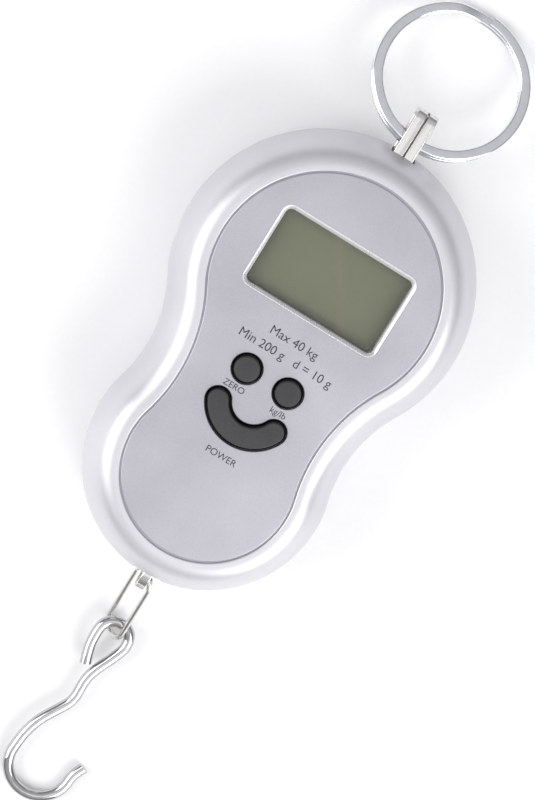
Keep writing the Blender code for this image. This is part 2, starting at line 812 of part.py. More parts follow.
load_cell = place(
    "load_cell",
    block(
        "load_cell",
        (-cell_width / 2, cell_bottom_y, cell_low),
        (cell_width / 2, cell_top_y, cell_high),
    ),
    aluminium,
)
half_tongue = hanger_slot / 2 - FIT
upper_tongue_mesh = block(
    "upper_tongue",
    (-tongue_width / 2, cell_top_y - over, load_height - half_tongue),
    (tongue_width / 2, cell_top_y + upper_tongue, load_height + half_tongue),
)
tongue_top = strap_low - FIT
tongue_back = tongue_top - lower_tongue_thickness
lower_tongue_mesh = block(
    "lower_tongue",
    (-tongue_width / 2, cell_bottom_y - lower_tongue, tongue_back),
    (tongue_width / 2, cell_bottom_y + over, tongue_top),
)
join(load_cell, place("upper_tongue", upper_tongue_mesh), place("lower_tongue", lower_tongue_mesh))
strap_bore = place(
    "strap_bore", column("strap_bore", 0, lower_pin_y, 0, rim_height, pin_hole_radius, 18)
)
cell_middle_y = (cell_top_y + cell_bottom_y) / 2
cell_window_loop = rounded(0, cell_middle_y, *cell_window_size, cell_window_corner)
cell_window = slab("cell_window", [cell_window_loop], 0, rim_height)
slit_offset = cell_window_size[1] / 2 + slit_wall + slit_width / 2
for side, label in ((1, "upper_slit"), (-1, "lower_slit")):
    y = cell_middle_y + side * slit_offset
    ends = sorted((side * cell_width, -side * cell_width / 4))
    slit = block(label, (ends[0], y - slit_width / 2, 0), (ends[1], y + slit_width / 2, rim_height))
    cut(load_cell, place(label, slit))
cut(load_cell, place("cell_window", cell_window), hanger_bore_cutter, strap_bore)

gauge_half = Vector((2.2 * mm, 0.15 * mm, 2.6 * mm))
for i, (side, up) in enumerate(((-1, 1), (1, 1), (-1, -1), (1, -1))):
    x = side * 5 * mm
    y = cell_middle_y + up * (cell_window_size[1] / 2 - FIT - gauge_half.y)
    middle = Vector((x, y, (cell_low + cell_high) / 2))
    gauge = block(f"strain_gauge_{i + 1}", middle - gauge_half, middle + gauge_half)
    place(f"strain_gauge_{i + 1}", gauge, gauge_foil)


def pin(name, x, y, low, high):
    """A rivet along Z with its head at the back."""
    profile = [
        (0, high),
        (pin_radius, high - 0.2 * mm),
        (pin_radius, low + pin_head),
        (pin_head_radius, low + pin_head),
        (pin_head_radius, low + 0.2 * mm),
        (0, low),
    ]
    made = turned(name, profile, bright_steel, 18)
    made.location = (x, y, 0)


hanger_back = load_height - hanger_slot / 2 - strip_thickness
pin("hanger_pin", 0, upper_pin_y, hanger_back - FIT - pin_head, hanger_face + 0.8 * mm)
strap_high = strap_low + strap_thickness
pin("strap_rivet", 0, lower_pin_y, tongue_back - FIT - pin_head, board_low - FIT)

# ---------------------------------------------------------------- bracket, link and hook

bracket_end = -body_end - bracket_reach
link_pivot_y = bracket_end + bracket_radius
bracket_inner = link_pivot_y + 10.0 * mm
bracket_outline = bent_strip(
    bracket_inner, bracket_end, bracket_slot_radius, bracket_strip, bracket_slot_radius - 0.01 * mm, 7
)
bracket_mesh = slab(
    "hook_bracket",
    [bracket_outline],
    chain_x - bracket_width / 2,
    chain_x + bracket_width / 2,
    SIDEWAYS,
)
hook_bracket = place("hook_bracket", bracket_mesh, bright_steel)
bracket_pin_y = link_pivot_y + 6.4 * mm
bracket_pin_radius = 0.7 * mm
bracket_bore = column(
    "bracket_bore", chain_x, bracket_pin_y, 0, rim_height, bracket_pin_radius + 0.5 * FIT, 14
)
bracket_bore_cutter = place("bracket_bore", bracket_bore)
cut(hook_bracket, bracket_bore_cutter)
bracket_back = load_height - bracket_radius
bracket_pin = turned(
    "bracket_pin",
    [
        (0, load_height + bracket_radius + 0.8 * mm),
        (bracket_pin_radius, load_height + bracket_radius + 0.7 * mm),
        (bracket_pin_radius, bracket_back - FIT),
        (1.3 * mm, bracket_back - FIT),
        (1.3 * mm, bracket_back - FIT - 0.8 * mm),
        (0, bracket_back - FIT - 0.8 * mm),
    ],
    bright_steel,
    14,
)
bracket_pin.location = (chain_x, bracket_pin_y, 0)

strap_end_y = link_pivot_y + bracket_slot_radius + 1.2 * mm
strap_outline = [
    (-strap_width / 2, cell_bottom_y - 2 * FIT),
    (-strap_width / 2, bracket_inner + 4 * mm),
    (chain_x - bracket_width / 2, bracket_inner + 1.5 * mm),
    (chain_x - bracket_width / 2, strap_end_y),
    (chain_x + bracket_width / 2, strap_end_y),
    (chain_x + bracket_width / 2, bracket_inner + 1.5 * mm),
    (strap_width / 2, bracket_inner + 4 * mm),
    (strap_width / 2, cell_bottom_y - 2 * FIT),
]
pull_strap = place("pull_strap", slab("pull_strap", [strap_outline], strap_low, strap_high), bright_steel)
cut(pull_strap, strap_bore, bracket_bore_cutter)

link_bend = link_width / 2


def link_reach_down(turn):
    """How far below its pivot the link's lowest point is, once it has swung down by this turn."""
    curve = link_bend * sqrt((sin(link_roll) * cos(turn)) ** 2 + sin(turn) ** 2)
    return (link_length - link_bend) * sin(turn) + curve + link_wire / 2


link_pivot_at = Vector((chain_x, link_pivot_y, load_height))
link_droop = resting_turn(link_reach_down, load_height - table_gap)
link_turn = (
    Matrix.Translation(link_pivot_at)
    @ Matrix.Rotation(link_yaw, 4, "Z")
    @ Matrix.Rotation(link_droop, 4, "X")
    @ Matrix.Rotation(-link_roll, 4, "Y")
)
straight = link_length - 2 * link_bend
link_points = arc(0, -link_bend, link_bend, 0, pi, 10) + arc(
    0, -link_bend - straight, link_bend, pi, 2 * pi, 10
)
link_body = pivot("link_pivot", link_pivot_at)
link_path = [link_turn @ Vector((x, y, 0)) for x, y in link_points]
wire("link", link_path, link_wire, bright_steel, True, link_body)

hook_pivot_at = link_turn @ Vector((0, hook_seat - link_bend - straight, 0))

# The hook's centre line, drawn flat about its pivot with the bowl towards -Y.
eye_radius = 3.85 * mm
eye_centre = (0.0, -eye_radius)
bowl_radius = 7.8 * mm
bowl_centre = (1.75 * mm, -39.4 * mm)
closing = [(-2.25, -12.6), (-2.95, -10.6), (-3.6, -8.2), (-3.85, -6.0)]
neck = [(3.8, -5.4), (2.4, -9.1), (1.05, -12.1), (0.2, -14.8), (-0.05, -16.8), (0.0, -18.8)]
elbow = [(0.05, -20.8), (-0.35, -22.7), (-1.3, -24.6)]
shank = [(-2.4, -26.5), (-3.6, -28.6), (-4.6, -30.8), (-5.35, -33.2), (-5.8, -35.8)]
tip = [(9.95, -37.2), (10.95, -35.0)]
hook_points = [(x * mm, y * mm) for x, y in closing]
hook_points += arc(*eye_centre, eye_radius, pi, 0, 12)
hook_points += [(x * mm, y * mm) for x, y in neck + elbow + shank]
hook_points += arc(*bowl_centre, bowl_radius, radians(174), radians(362), 16)
hook_points += [(x * mm, y * mm) for x, y in tip]
hook_length = bowl_radius - bowl_centre[1]
bowl_reach = hook_shift + bowl_centre[0] + bowl_radius / 2


def hook_reach_down(turn):
    """How far below its pivot the bowl's outside is, once the hook has swung down by this turn."""
    return hook_length * sin(turn) + bowl_reach * sin(hook_roll) + hook_wire / 2


hook_droop = resting_turn(hook_reach_down, hook_pivot_at.z - table_gap)
hook_turn = (
    Matrix.Translation(hook_pivot_at)
    @ Matrix.Rotation(hook_droop, 4, "X")
    @ Matrix.Rotation(hook_roll, 4, "Y")
    @ Matrix.Translation((hook_shift, 0, 0))
)
hook_body = pivot("hook_pivot", hook_pivot_at)
hook_path = [hook_turn @ Vector((x, y, 0)) for x, y in hook_points]
wire("hook", hook_path, hook_wire, chrome, False, hook_body)

# ---------------------------------------------------------------- split ring

ring_radius = (ring_diameter - ring_wire_radial) / 2
ring_step = ring_wire_height + ring_turn_gap
ring_pivot_at = Vector((ring_x, body_end + ring_seat, load_height))


def ring_reach_down(turn):
    """How far below its pivot the ring's far edge is, once it has swung down by this turn."""
    across = (2 * ring_radius + ring_wire_radial / 2) * sin(turn)
    return across + (ring_step + ring_wire_height) / 2 * cos(turn)


ring_droop = resting_turn(ring_reach_down, load_height - table_gap)
ring_turn = Matrix.Translation(ring_pivot_at) @ Matrix.Rotation(-ring_droop, 4, "X")


def ring_level(turn):
    """The height of the coil's wire at a turn: flat, then a short step to the second layer."""
    step_start, step_end = radians(361), radians(385)
    share = min(1.0, max(0.0, (turn - step_start) / (step_end - step_start)))
    return ring_step * (share * share * (3 - 2 * share) - 0.5)


def ring_section(turn):
    """The wire's section at a turn, with rounded corners, about the ring's far top."""
    half = Vector((ring_wire_radial / 2, ring_wire_height / 2))
    corner = 0.45 * mm
    angle = turn + pi / 2
    outline = rounded(ring_radius, ring_level(turn), 2 * half.x, 2 * half.y, corner, 1)
    return [(r * cos(angle), ring_radius + r * sin(angle), z) for r, z in outline]


ring_start, ring_end = radians(30), radians(716)
ring_steps = 52
stations = [ring_start + (ring_end - ring_start) * i / ring_steps for i in range(ring_steps + 1)]
ring_body = pivot("ring_pivot", ring_pivot_at)
ring_mesh = skin("split_ring", [ring_section(turn) for turn in stations], ring_turn)
place("split_ring", ring_mesh, chrome, ring_body)

# ---------------------------------------------------------------- battery door

grip_count = 4
grip_pitch = 1.5 * mm
grip_inset = 3.0 * mm  # from the latched end to the first groove
grip_half = Vector((5.0 * mm, 0.4 * mm))
grip_depth = 0.4 * mm
door_pivot = pivot("door_pivot", (0, door_bottom_y, door_low))
door_loop = rounded(0, door_middle_y, 2 * door_half_width, door_length, door_corner)
door = place(
    "battery_door", slab("battery_door", [door_loop], door_low, door_high), silver_shell, door_pivot
)
for side, label in ((-1, "left"), (1, "right")):
    x = side * tongue_x
    tongue = block(
        f"{label}_tongue",
        (x - tongue_half_width, door_bottom_y - tongue_reach, tongue_low),
        (x + tongue_half_width, door_bottom_y + tongue_root, tongue_high),
    )
    join(door, place(f"{label}_tongue", tongue))
latch_y = door_top_y - latch_depth
latch = block(
    "latch",
    (-latch_half_width, latch_y - latch_depth / 2, door_low + door_thickness / 2),
    (latch_half_width, latch_y + latch_depth / 2, latch_height),
)
latch_nib = block(
    "latch_nib",
    (-latch_half_width, latch_y, latch_height - 1.2 * mm),
    (latch_half_width, door_top_y, latch_height - 0.4 * mm),
)
join(door, place("latch", latch), place("latch_nib", latch_nib))
for i in range(grip_count):
    y = door_top_y - grip_inset - i * grip_pitch
    grip = block(
        f"grip_{i + 1}",
        (-grip_half.x, y - grip_half.y, door_low - over),
        (grip_half.x, y + grip_half.y, door_low + grip_depth),
    )
    cut(door, place(f"grip_{i + 1}", grip))

# ---------------------------------------------------------------- batteries and contacts

can_length = cell_length - cell_nub
can_profile = [
    (0, cell_length),
    (cell_nub_radius, cell_length),
    (cell_nub_radius, can_length),
    (cell_radius - 0.5 * mm, can_length),
    (cell_radius, can_length - 0.5 * mm),
    (cell_radius, 0.4 * mm),
    (cell_radius - 0.4 * mm, 0),
    (0, 0),
]
plate_top_y = bay_top_y - FIT - contact_thickness
plate_bottom_y = bay_bottom_y + FIT + contact_thickness
for i, way in enumerate((-1, 1)):
    battery = turned(f"battery_{i + 1}", can_profile, cell_jacket, 24)
    tip_y = plate_top_y - FIT if way > 0 else plate_bottom_y + FIT
    battery.location = (way * cell_pitch / 2, tip_y - way * cell_length, cell_axis_height)
    battery.rotation_euler = (-way * pi / 2, 0, 0)

contact_half = 4.0 * mm
contact_low = cell_axis_height - contact_half
contact_high = cell_axis_height + contact_half
tab_half = 1.0 * mm
tab_high = bay_roof + 0.9 * mm
bridge_half = cell_pitch / 2 + contact_half
bridge_loop = rounded(0, cell_axis_height, 2 * bridge_half, 2 * contact_half, 1 * mm, 2)
bridge = slab("bridge_contact", [bridge_loop], -plate_top_y - contact_thickness, -plate_top_y, UPRIGHT)
place("bridge_contact", bridge, bright_steel)
for x, label in ((-cell_pitch / 2, "positive_contact"), (cell_pitch / 2, "negative_contact")):
    outline = [
        (x - contact_half, contact_low),
        (x + contact_half, contact_low),
        (x + contact_half, contact_high),
        (x + tab_half, contact_high),
        (x + tab_half, tab_high),
        (x - tab_half, tab_high),
        (x - tab_half, contact_high),
        (x - contact_half, contact_high),
    ]
    contact = slab(label, [outline], -plate_bottom_y, contact_thickness - plate_bottom_y, UPRIGHT)
    place(label, contact, bright_steel)
    tab_slot = block(
        f"{label}_slot",
        (x - tab_half - FIT, bay_bottom_y - FIT, bay_ceiling - over),
        (x + tab_half + FIT, plate_bottom_y + FIT, bay_roof + over),
    )
    cut(rear_shell, place(f"{label}_slot", tab_slot))


def coil(name, x, plate_y, cell_y):
    """A cone-shaped spring from a contact plate to the flat end of a battery."""
    turns, points_per_turn = 3.5, 8
    count = int(turns * points_per_turn)
    wide, narrow = 3.4 * mm, 1.9 * mm
    way = 1 if cell_y > plate_y else -1
    start = plate_y + way * (FIT + spring_wire / 2)
    end = cell_y - way * (FIT + spring_wire / 2)
    points = []
    for i in range(count + 1):
        share = i / count
        radius = wide + (narrow - wide) * share
        turn = 2 * pi * turns * share
        y = start + (end - start) * share
        points.append((x + radius * cos(turn), y, cell_axis_height + radius * sin(turn)))
    wire(name, points, spring_wire, bright_steel)


near_end = plate_bottom_y + FIT + cell_length
far_end = plate_top_y - FIT - cell_length
coil("upper_spring", -cell_pitch / 2, plate_top_y, near_end)
coil("lower_spring", cell_pitch / 2, plate_bottom_y, far_end)

# ---------------------------------------------------------------- leads

lead_height = bay_roof + FIT + lead_diameter / 2
pad_height = board_low - FIT - lead_diameter / 2
for way, label, finish in ((-1, "battery_lead_red", red_lead), (1, "battery_lead_black", black_lead)):
    tab = Vector((way * cell_pitch / 2, plate_bottom_y + FIT + 0.2 * mm, lead_height))
    route = [
        tab,
        tab + Vector((way * 0.4, 2.5, 0.3)) * mm,
        tab + Vector((way * 2.2, 6.0, 0.4)) * mm,
        tab + Vector((way * 3.4, 11.0, 0.5)) * mm,
        Vector((way * 9.0 * mm, board_bottom_y + 1.5 * mm, lead_height + 0.8 * mm)),
        Vector((way * 8.6 * mm, board_bottom_y + 5.0 * mm, pad_height)),
    ]
    wire(label, route, lead_diameter, finish)

lead_finishes = (("red", red_lead), ("black", black_lead), ("green", green_lead), ("white", white_lead))
edge_x = cell_width / 2 + FIT + cell_lead_diameter / 2
for i, (label, finish) in enumerate(lead_finishes):
    y = cell_middle_y - 2.1 * mm + i * 1.4 * mm
    route = [
        (edge_x, y, cell_low + 3.0 * mm),
        (edge_x + 0.6 * mm, y, cell_low + 4.2 * mm),
        (edge_x + 1.5 * mm, y, cell_low + 5.6 * mm),
        (edge_x + 2.6 * mm, y, cell_low + 6.8 * mm),
        (edge_x + 4.2 * mm, y, board_low - FIT - cell_lead_diameter / 2),
    ]
    wire(f"cell_lead_{label}", route, cell_lead_diameter, finish)
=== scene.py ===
# %% [markdown]
# # A pocket luggage scale
# The scale lies on its back: a silver casing with a display and three rubber keys, a split ring on a
# bent steel hanger at the top end, and a wire hook on a link at the lower end.
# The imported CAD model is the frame. It says where everything is and what moves, and this lesson gives
# it smooth surfaces, procedural finishes, a table to lie on and soft light.

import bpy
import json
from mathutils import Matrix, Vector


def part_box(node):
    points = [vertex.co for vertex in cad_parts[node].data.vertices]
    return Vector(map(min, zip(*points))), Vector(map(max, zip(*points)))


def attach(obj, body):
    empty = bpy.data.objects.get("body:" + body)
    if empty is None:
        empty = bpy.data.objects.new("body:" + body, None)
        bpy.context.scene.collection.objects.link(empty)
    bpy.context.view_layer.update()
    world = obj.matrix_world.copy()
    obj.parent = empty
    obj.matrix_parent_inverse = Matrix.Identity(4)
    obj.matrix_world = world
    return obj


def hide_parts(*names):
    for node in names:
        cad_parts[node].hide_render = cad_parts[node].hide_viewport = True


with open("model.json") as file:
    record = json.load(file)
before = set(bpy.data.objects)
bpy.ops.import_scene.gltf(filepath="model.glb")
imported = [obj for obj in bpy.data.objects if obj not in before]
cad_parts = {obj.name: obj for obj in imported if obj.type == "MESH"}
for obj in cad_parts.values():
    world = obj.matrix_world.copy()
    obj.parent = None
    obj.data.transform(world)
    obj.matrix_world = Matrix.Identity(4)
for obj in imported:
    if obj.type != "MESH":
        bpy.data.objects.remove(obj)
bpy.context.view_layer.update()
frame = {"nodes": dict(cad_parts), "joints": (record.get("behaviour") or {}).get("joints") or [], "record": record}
nodes = frame["nodes"]

# %% [markdown]
# Every size is in metres, so a short name for a millimetre keeps the numbers readable.
# The casing's outline is two circles joined by a hollow arc at the waist. The circles come from the
# frame: the casing's box gives its length and its largest radius.

# %% Sizes of the casing
import json
from math import atan2, cos, pi, radians, sin, sqrt

import bmesh
import bpy
from mathutils import Matrix, Vector

mm = 0.001
gap = 0.3 * mm
front_box, rear_box, panel_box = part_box("front_shell"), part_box("rear_shell"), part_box("face_panel")
body_end = front_box[1].y
top_radius = front_box[1].x
bottom_radius = 29.25 * mm
waist_radius = 32.6 * mm
top_y = body_end - top_radius
bottom_y = bottom_radius - body_end
top_reach, bottom_reach = top_radius + waist_radius, bottom_radius + waist_radius
waist_y = (top_y + bottom_y) / 2 + (bottom_reach**2 - top_reach**2) / (2 * (top_y - bottom_y))
waist_x = sqrt(top_reach**2 - (waist_y - top_y) ** 2)
print("casing", round(2 * body_end / mm, 1), "mm long, waist at", round(waist_y / mm, 2), "mm")

# %% [markdown]
# A piece is finished when its mesh holds its place in the scene, its faces look outwards and its
# object sits unturned at the origin. These few helpers do that for every piece that follows.

# %% Mesh helpers
work = bpy.data.collections.new("luggage_scale")
bpy.context.scene.collection.children.link(work)


def add(name, mesh, finish=None):
    made = bpy.data.objects.new(name, mesh)
    work.objects.link(made)
    if finish:
        mesh.materials.clear()
        mesh.materials.append(finish)
    return made


def to_mesh(bm, name, transform=Matrix(), angle=radians(32)):
    bmesh.ops.recalc_face_normals(bm, faces=bm.faces)
    bm.transform(transform)
    mesh = bpy.data.meshes.new(name)
    bm.to_mesh(mesh)
    bm.free()
    mesh.shade_smooth()
    mesh.set_sharp_from_angle(angle=angle)
    return mesh


def arc(x, y, radius, start, end, steps):
    turns = [start + (end - start) * i / steps for i in range(steps + 1)]
    return [(x + radius * cos(turn), y + radius * sin(turn)) for turn in turns]


def loft(name, rings, transform=Matrix(), closed=False):
    """Skins rings of points. A closed loft joins its last ring to its first, as for a picture frame."""
    bm = bmesh.new()
    rows = [[bm.verts.new(point) for point in ring] for ring in rings]
    following = rows[1:] + rows[:1] if closed else rows[1:]
    for row, after in zip(rows, following):
        for i in range(len(row)):
            bm.faces.new((row[i - 1], row[i], after[i], after[i - 1]))
    if not closed:
        bm.faces.new(rows[0])
        bm.faces.new(rows[-1])
    return to_mesh(bm, name, transform)


def boxed(name, low, high):
    bm = bmesh.new()
    bmesh.ops.create_cube(bm, size=1)
    low, high = Vector(low), Vector(high)
    middle = Matrix.Translation((low + high) / 2)
    return to_mesh(bm, name, middle @ Matrix.Diagonal((*(high - low), 1)))


def round_bar(name, x, y, low, high, radius, sides=48):
    circle = arc(x, y, radius, 0, 2 * pi, sides)[:-1]
    return loft(name, [[(px, py, z) for px, py in circle] for z in (low, high)])


def sculpt(target, steps):
    """Applies (operation, mesh) pairs as exact booleans and leaves a plain mesh."""
    tools = []
    for operation, mesh in steps:
        tool = add(mesh.name, mesh)
        modifier = target.modifiers.new(mesh.name, "BOOLEAN")
        modifier.operation, modifier.object, modifier.solver = operation, tool, "EXACT"
        tools.append(tool)
    result = bpy.data.meshes.new_from_object(
        target.evaluated_get(bpy.context.evaluated_depsgraph_get())
    )
    target.modifiers.clear()
    target.data = result
    for tool in tools:
        bpy.data.meshes.remove(tool.data)
    result.shade_smooth()
    result.set_sharp_from_angle(angle=radians(32))
    print(target.name, len(result.polygons), "faces")


def cut(mesh):
    """One step for sculpt; so is join."""
    return "DIFFERENCE", mesh


def join(mesh):
    return "UNION", mesh


def rounded(x, y, width, height, corner, steps=8):
    across, along = width / 2 - corner, height / 2 - corner
    points = []
    for i, (sx, sy) in enumerate([(1, 1), (-1, 1), (-1, -1), (1, -1)]):
        points += arc(x + sx * across, y + sy * along, corner, i * pi / 2, (i + 1) * pi / 2, steps)
    return points


# %% [markdown]
# The outline is the same curve as in the frame with four times as many points, so that the silhouette
# reads as a curve. The points at the two ends and the widest places stay where the frame has them.

# %% The casing's outline
def round_end(y, radius, start, past):
    before = arc(0, y, radius, start - past, start, 10)
    after = arc(0, y, radius, start + pi, start + pi + past, 10)
    return before[:-1] + arc(0, y, radius, start, start + pi, 72) + after[1:]


def outline(inset):
    top_past, bottom_past = atan2(top_y - waist_y, waist_x), atan2(waist_y - bottom_y, waist_x)
    hollow = waist_radius + inset
    points = round_end(top_y, top_radius - inset, 0, top_past)
    points += arc(-waist_x, waist_y, hollow, top_past, -bottom_past, 22)[1:-1]
    points += round_end(bottom_y, bottom_radius - inset, pi, bottom_past)
    points += arc(waist_x, waist_y, hollow, pi + bottom_past, pi - top_past, 22)[1:-1]
    return points


def casing_loft(name, sections):
    return loft(name, [[(x, y, high) for x, y in outline(inset)] for inset, high in sections])


def quarter(inset, reach, base, rise, steps=22):
    turns = [pi / 2 * i / steps for i in range(steps + 1)]
    return [(inset + reach * (1 - cos(turn)), base + rise * sin(turn)) for turn in turns]


print("outline of", len(outline(0)), "points")

# %% [markdown]
# ## Finishes
# Silver paint, plated wire, rubber and moulded plastic share a few effects: fine grain, drawn lines
# and even bands. Each effect is a node group with named inputs. It puts out a mask and a
# height, and the material mixes colour and roughness with the mask and feeds the height to a bump.

# %% Node group helpers
def node(tree, kind, sockets=(), **settings):
    made = tree.nodes.new(kind)
    for name, value in settings.items():
        setattr(made, name, value)
    for key, value in dict(sockets).items():
        if isinstance(value, bpy.types.NodeSocket):
            tree.links.new(value, made.inputs[key])
        else:
            made.inputs[key].default_value = value
    return made


def effect(name, inputs, outputs=("Mask", "Height")):
    """An empty node group: float inputs with defaults, float outputs, and the object's coordinates."""
    tree = bpy.data.node_groups.new(name, "ShaderNodeTree")
    for label, value in inputs.items():
        tree.interface.new_socket(label, in_out="INPUT", socket_type="NodeSocketFloat").default_value = value
    for label in outputs:
        tree.interface.new_socket(label, in_out="OUTPUT", socket_type="NodeSocketFloat")
    entry = tree.nodes.new("NodeGroupInput")
    leave = tree.nodes.new("NodeGroupOutput")
    place = tree.nodes.new("ShaderNodeTexCoord").outputs["Object"]
    return tree, entry.outputs, leave.inputs, place


def math(tree, operation, *values):
    return node(tree, "ShaderNodeMath", enumerate(values), operation=operation).outputs[0]


def noise(tree, place, scale, detail=2.0, roughness=0.5):
    sockets = {"Vector": place, "Scale": scale, "Detail": detail, "Roughness": roughness}
    return node(tree, "ShaderNodeTexNoise", sockets).outputs["Fac"]


def ramp(tree, value, low, high, to_low=0.0, to_high=1.0):
    sockets = {"Value": value, "From Min": low, "From Max": high, "To Min": to_low, "To Max": to_high}
    return node(tree, "ShaderNodeMapRange", sockets).outputs["Result"]


# %% [markdown]
# Fine grain is a very small noise for the sparkle of silver paint and the skin of rubber and plastic,
# laid over a slow noise for the uneven coat. Cloud Share says how much of the mask is the slow one.

# %% Fine grain
grain, given, out, place = effect("Fine grain", {"Scale": 4000.0, "Cloud": 60.0, "Cloud Share": 0.3})
fine = ramp(grain, noise(grain, place, given["Scale"], 3.0, 0.65), 0.3, 0.7)
cloud = ramp(grain, noise(grain, place, given["Cloud"], 2.0, 0.5), 0.35, 0.65)
kept = math(grain, "SUBTRACT", 1.0, given["Cloud Share"])
mixed = math(grain, "ADD", math(grain, "MULTIPLY", fine, kept),
             math(grain, "MULTIPLY", cloud, given["Cloud Share"]))
grain.links.new(mixed, out["Mask"])
grain.links.new(fine, out["Height"])

# %% [markdown]
# Drawn wire and rolled strip have lines along their length. A noise squeezed across the lines and
# stretched along them gives both the streaks in the gloss and their faint relief.

# %% Drawn lines
drawn, given, out, place = effect(
    "Drawn lines", {"Along X": 300.0, "Along Y": 300.0, "Along Z": 300.0, "Smudge": 90.0}
)
squeeze = node(drawn, "ShaderNodeCombineXYZ",
               {"X": given["Along X"], "Y": given["Along Y"], "Z": given["Along Z"]})
stretched = node(drawn, "ShaderNodeVectorMath", {0: place, 1: squeeze.outputs[0]}, operation="MULTIPLY")
lines = ramp(drawn, noise(drawn, stretched.outputs[0], 1.0, 4.0, 0.6), 0.3, 0.7)
marks = ramp(drawn, noise(drawn, place, given["Smudge"], 3.0, 0.6), 0.35, 0.7)
both = math(drawn, "ADD", math(drawn, "MULTIPLY", lines, 0.5), math(drawn, "MULTIPLY", marks, 0.5))
drawn.links.new(both, out["Mask"])
drawn.links.new(lines, out["Height"])

# %% [markdown]
# Milled aluminium, a gauge's foil and a printed jacket all show even bands. One group makes sharp or
# soft bands across a chosen direction, with a little noise so that they aren't ruled too cleanly.

# %% Bands
bands, given, out, place = effect(
    "Bands", {"Pitch": 0.0008, "Across X": 0.0, "Across Y": 1.0, "Across Z": 0.0, "Waver": 0.1}
)
way = node(bands, "ShaderNodeCombineXYZ",
           {"X": given["Across X"], "Y": given["Across Y"], "Z": given["Across Z"]})
along = node(bands, "ShaderNodeVectorMath", {0: place, 1: way.outputs[0]}, operation="DOT_PRODUCT")
count = math(bands, "DIVIDE", along.outputs["Value"], given["Pitch"])
shaken = math(bands, "ADD", count, math(bands, "MULTIPLY", noise(bands, place, 900.0), given["Waver"]))
wave = math(bands, "SINE", math(bands, "MULTIPLY", shaken, 2 * pi))
level = ramp(bands, wave, -0.6, 0.6)
bands.links.new(level, out["Mask"])
bands.links.new(level, out["Height"])

# %% [markdown]
# One function turns an effect into a finish. The even values, such as how metallic the surface is or
# how strong its clear coat is, go straight on the Principled shader's own sockets.

# %% Making a finish
def finish(name, group, inputs, dark, light, smooth, rough, bump=0.0, relief=0.02 * mm, **sockets):
    made = bpy.data.materials.new(name)
    made.use_nodes = True
    tree = made.node_tree
    shader = tree.nodes["Principled BSDF"]
    shown = node(tree, "ShaderNodeGroup", node_tree=group)
    for label, value in inputs.items():
        shown.inputs[label].default_value = value
    mask = shown.outputs["Mask"]
    mix = node(tree, "ShaderNodeMix", {0: mask, 6: (*dark, 1), 7: (*light, 1)}, data_type="RGBA")
    tree.links.new(mix.outputs[2], shader.inputs["Base Color"])
    tree.links.new(ramp(tree, mask, 0.0, 1.0, smooth, rough), shader.inputs["Roughness"])
    if bump:
        raised = node(tree, "ShaderNodeBump",
                      {"Strength": bump, "Distance": relief, "Height": shown.outputs["Height"]})
        tree.links.new(raised.outputs["Normal"], shader.inputs["Normal"])
    for label, value in sockets.items():
        shader.inputs[label.replace("_", " ")].default_value = value
    return made


def paint(name, dark, light, **more):
    inputs = {"Scale": 5200.0, "Cloud": 45.0, "Cloud Share": 0.35}
    return finish(name, grain, inputs, dark, light, **more)


shell_paint = paint("satin silver coat", (0.60, 0.60, 0.625), (0.70, 0.70, 0.725),
                    smooth=0.36, rough=0.46, bump=0.06, Metallic=0.55, Coat_Weight=0.08, Coat_Roughness=0.3)
panel_paint = paint("grained silver coat", (0.41, 0.405, 0.445), (0.55, 0.545, 0.585),
                    smooth=0.40, rough=0.52, bump=0.25, Metallic=0.65)
# Painted highlight: a much lighter copy of the plate's paint for the window's sloping edge.
bevel_painted_highlight = paint("bright window edge", (0.86, 0.86, 0.88), (0.94, 0.94, 0.95),
                    smooth=0.24, rough=0.32, bump=0.03, Metallic=0.6)
key_rubber = finish("silicone key rubber", grain, {"Scale": 3200.0, "Cloud": 140.0, "Cloud Share": 0.4},
                    (0.026, 0.026, 0.028), (0.050, 0.050, 0.053), 0.48, 0.66, bump=0.4)
dark_print = finish("dark print", grain, {"Scale": 6000.0, "Cloud": 300.0, "Cloud Share": 0.3},
                    (0.020, 0.020, 0.024), (0.045, 0.045, 0.052), 0.45, 0.6, bump=0.1)
print("paints and rubber made")

# %% Metals and plastics
wire_lines = {"Along X": 500.0, "Along Y": 500.0, "Along Z": 900.0, "Smudge": 110.0}
strip_lines = {"Along X": 5200.0, "Along Y": 160.0, "Along Z": 1600.0, "Smudge": 120.0}
ring_chrome = finish("chrome on the ring", drawn, wire_lines, (0.82, 0.83, 0.86), (0.92, 0.93, 0.95),
                     0.07, 0.17, bump=0.06, Metallic=1.0)
hook_chrome = finish("chrome on the hook", drawn, wire_lines, (0.46, 0.46, 0.46), (0.60, 0.60, 0.595),
                     0.05, 0.14, bump=0.05, Metallic=1.0)
strip_steel = finish("nickelled strip", drawn, strip_lines, (0.68, 0.67, 0.64), (0.82, 0.81, 0.78),
                     0.16, 0.30, bump=0.12, Metallic=1.0)
# Painted shade: a dark copy of the strip's finish for the inside of the hanger's groove.
groove_painted_shade = finish("dark line of the groove", drawn, strip_lines, (0.16, 0.16, 0.15), (0.30, 0.29, 0.28),
                      0.35, 0.5, bump=0.1, Metallic=0.7)
inner_steel = finish("zinc plate", drawn, strip_lines, (0.50, 0.49, 0.45), (0.66, 0.65, 0.62),
                     0.30, 0.48, bump=0.15, Metallic=1.0)
spring_nickel = finish("nickel on the springs", drawn, wire_lines, (0.66, 0.65, 0.60), (0.78, 0.77, 0.73),
                       0.14, 0.28, bump=0.05, Metallic=1.0)
milled = finish("milled aluminium", bands, {"Pitch": 0.9 * mm, "Waver": 0.5}, (0.60, 0.61, 0.63),
                (0.70, 0.71, 0.73), 0.30, 0.42, bump=0.2, Metallic=1.0)
foil = finish("gauge film and foil", bands,
              {"Pitch": 0.5 * mm, "Across X": 1.0, "Across Y": 0.0, "Waver": 0.05},
              (0.42, 0.22, 0.07), (0.66, 0.52, 0.30), 0.25, 0.45, bump=0.2)
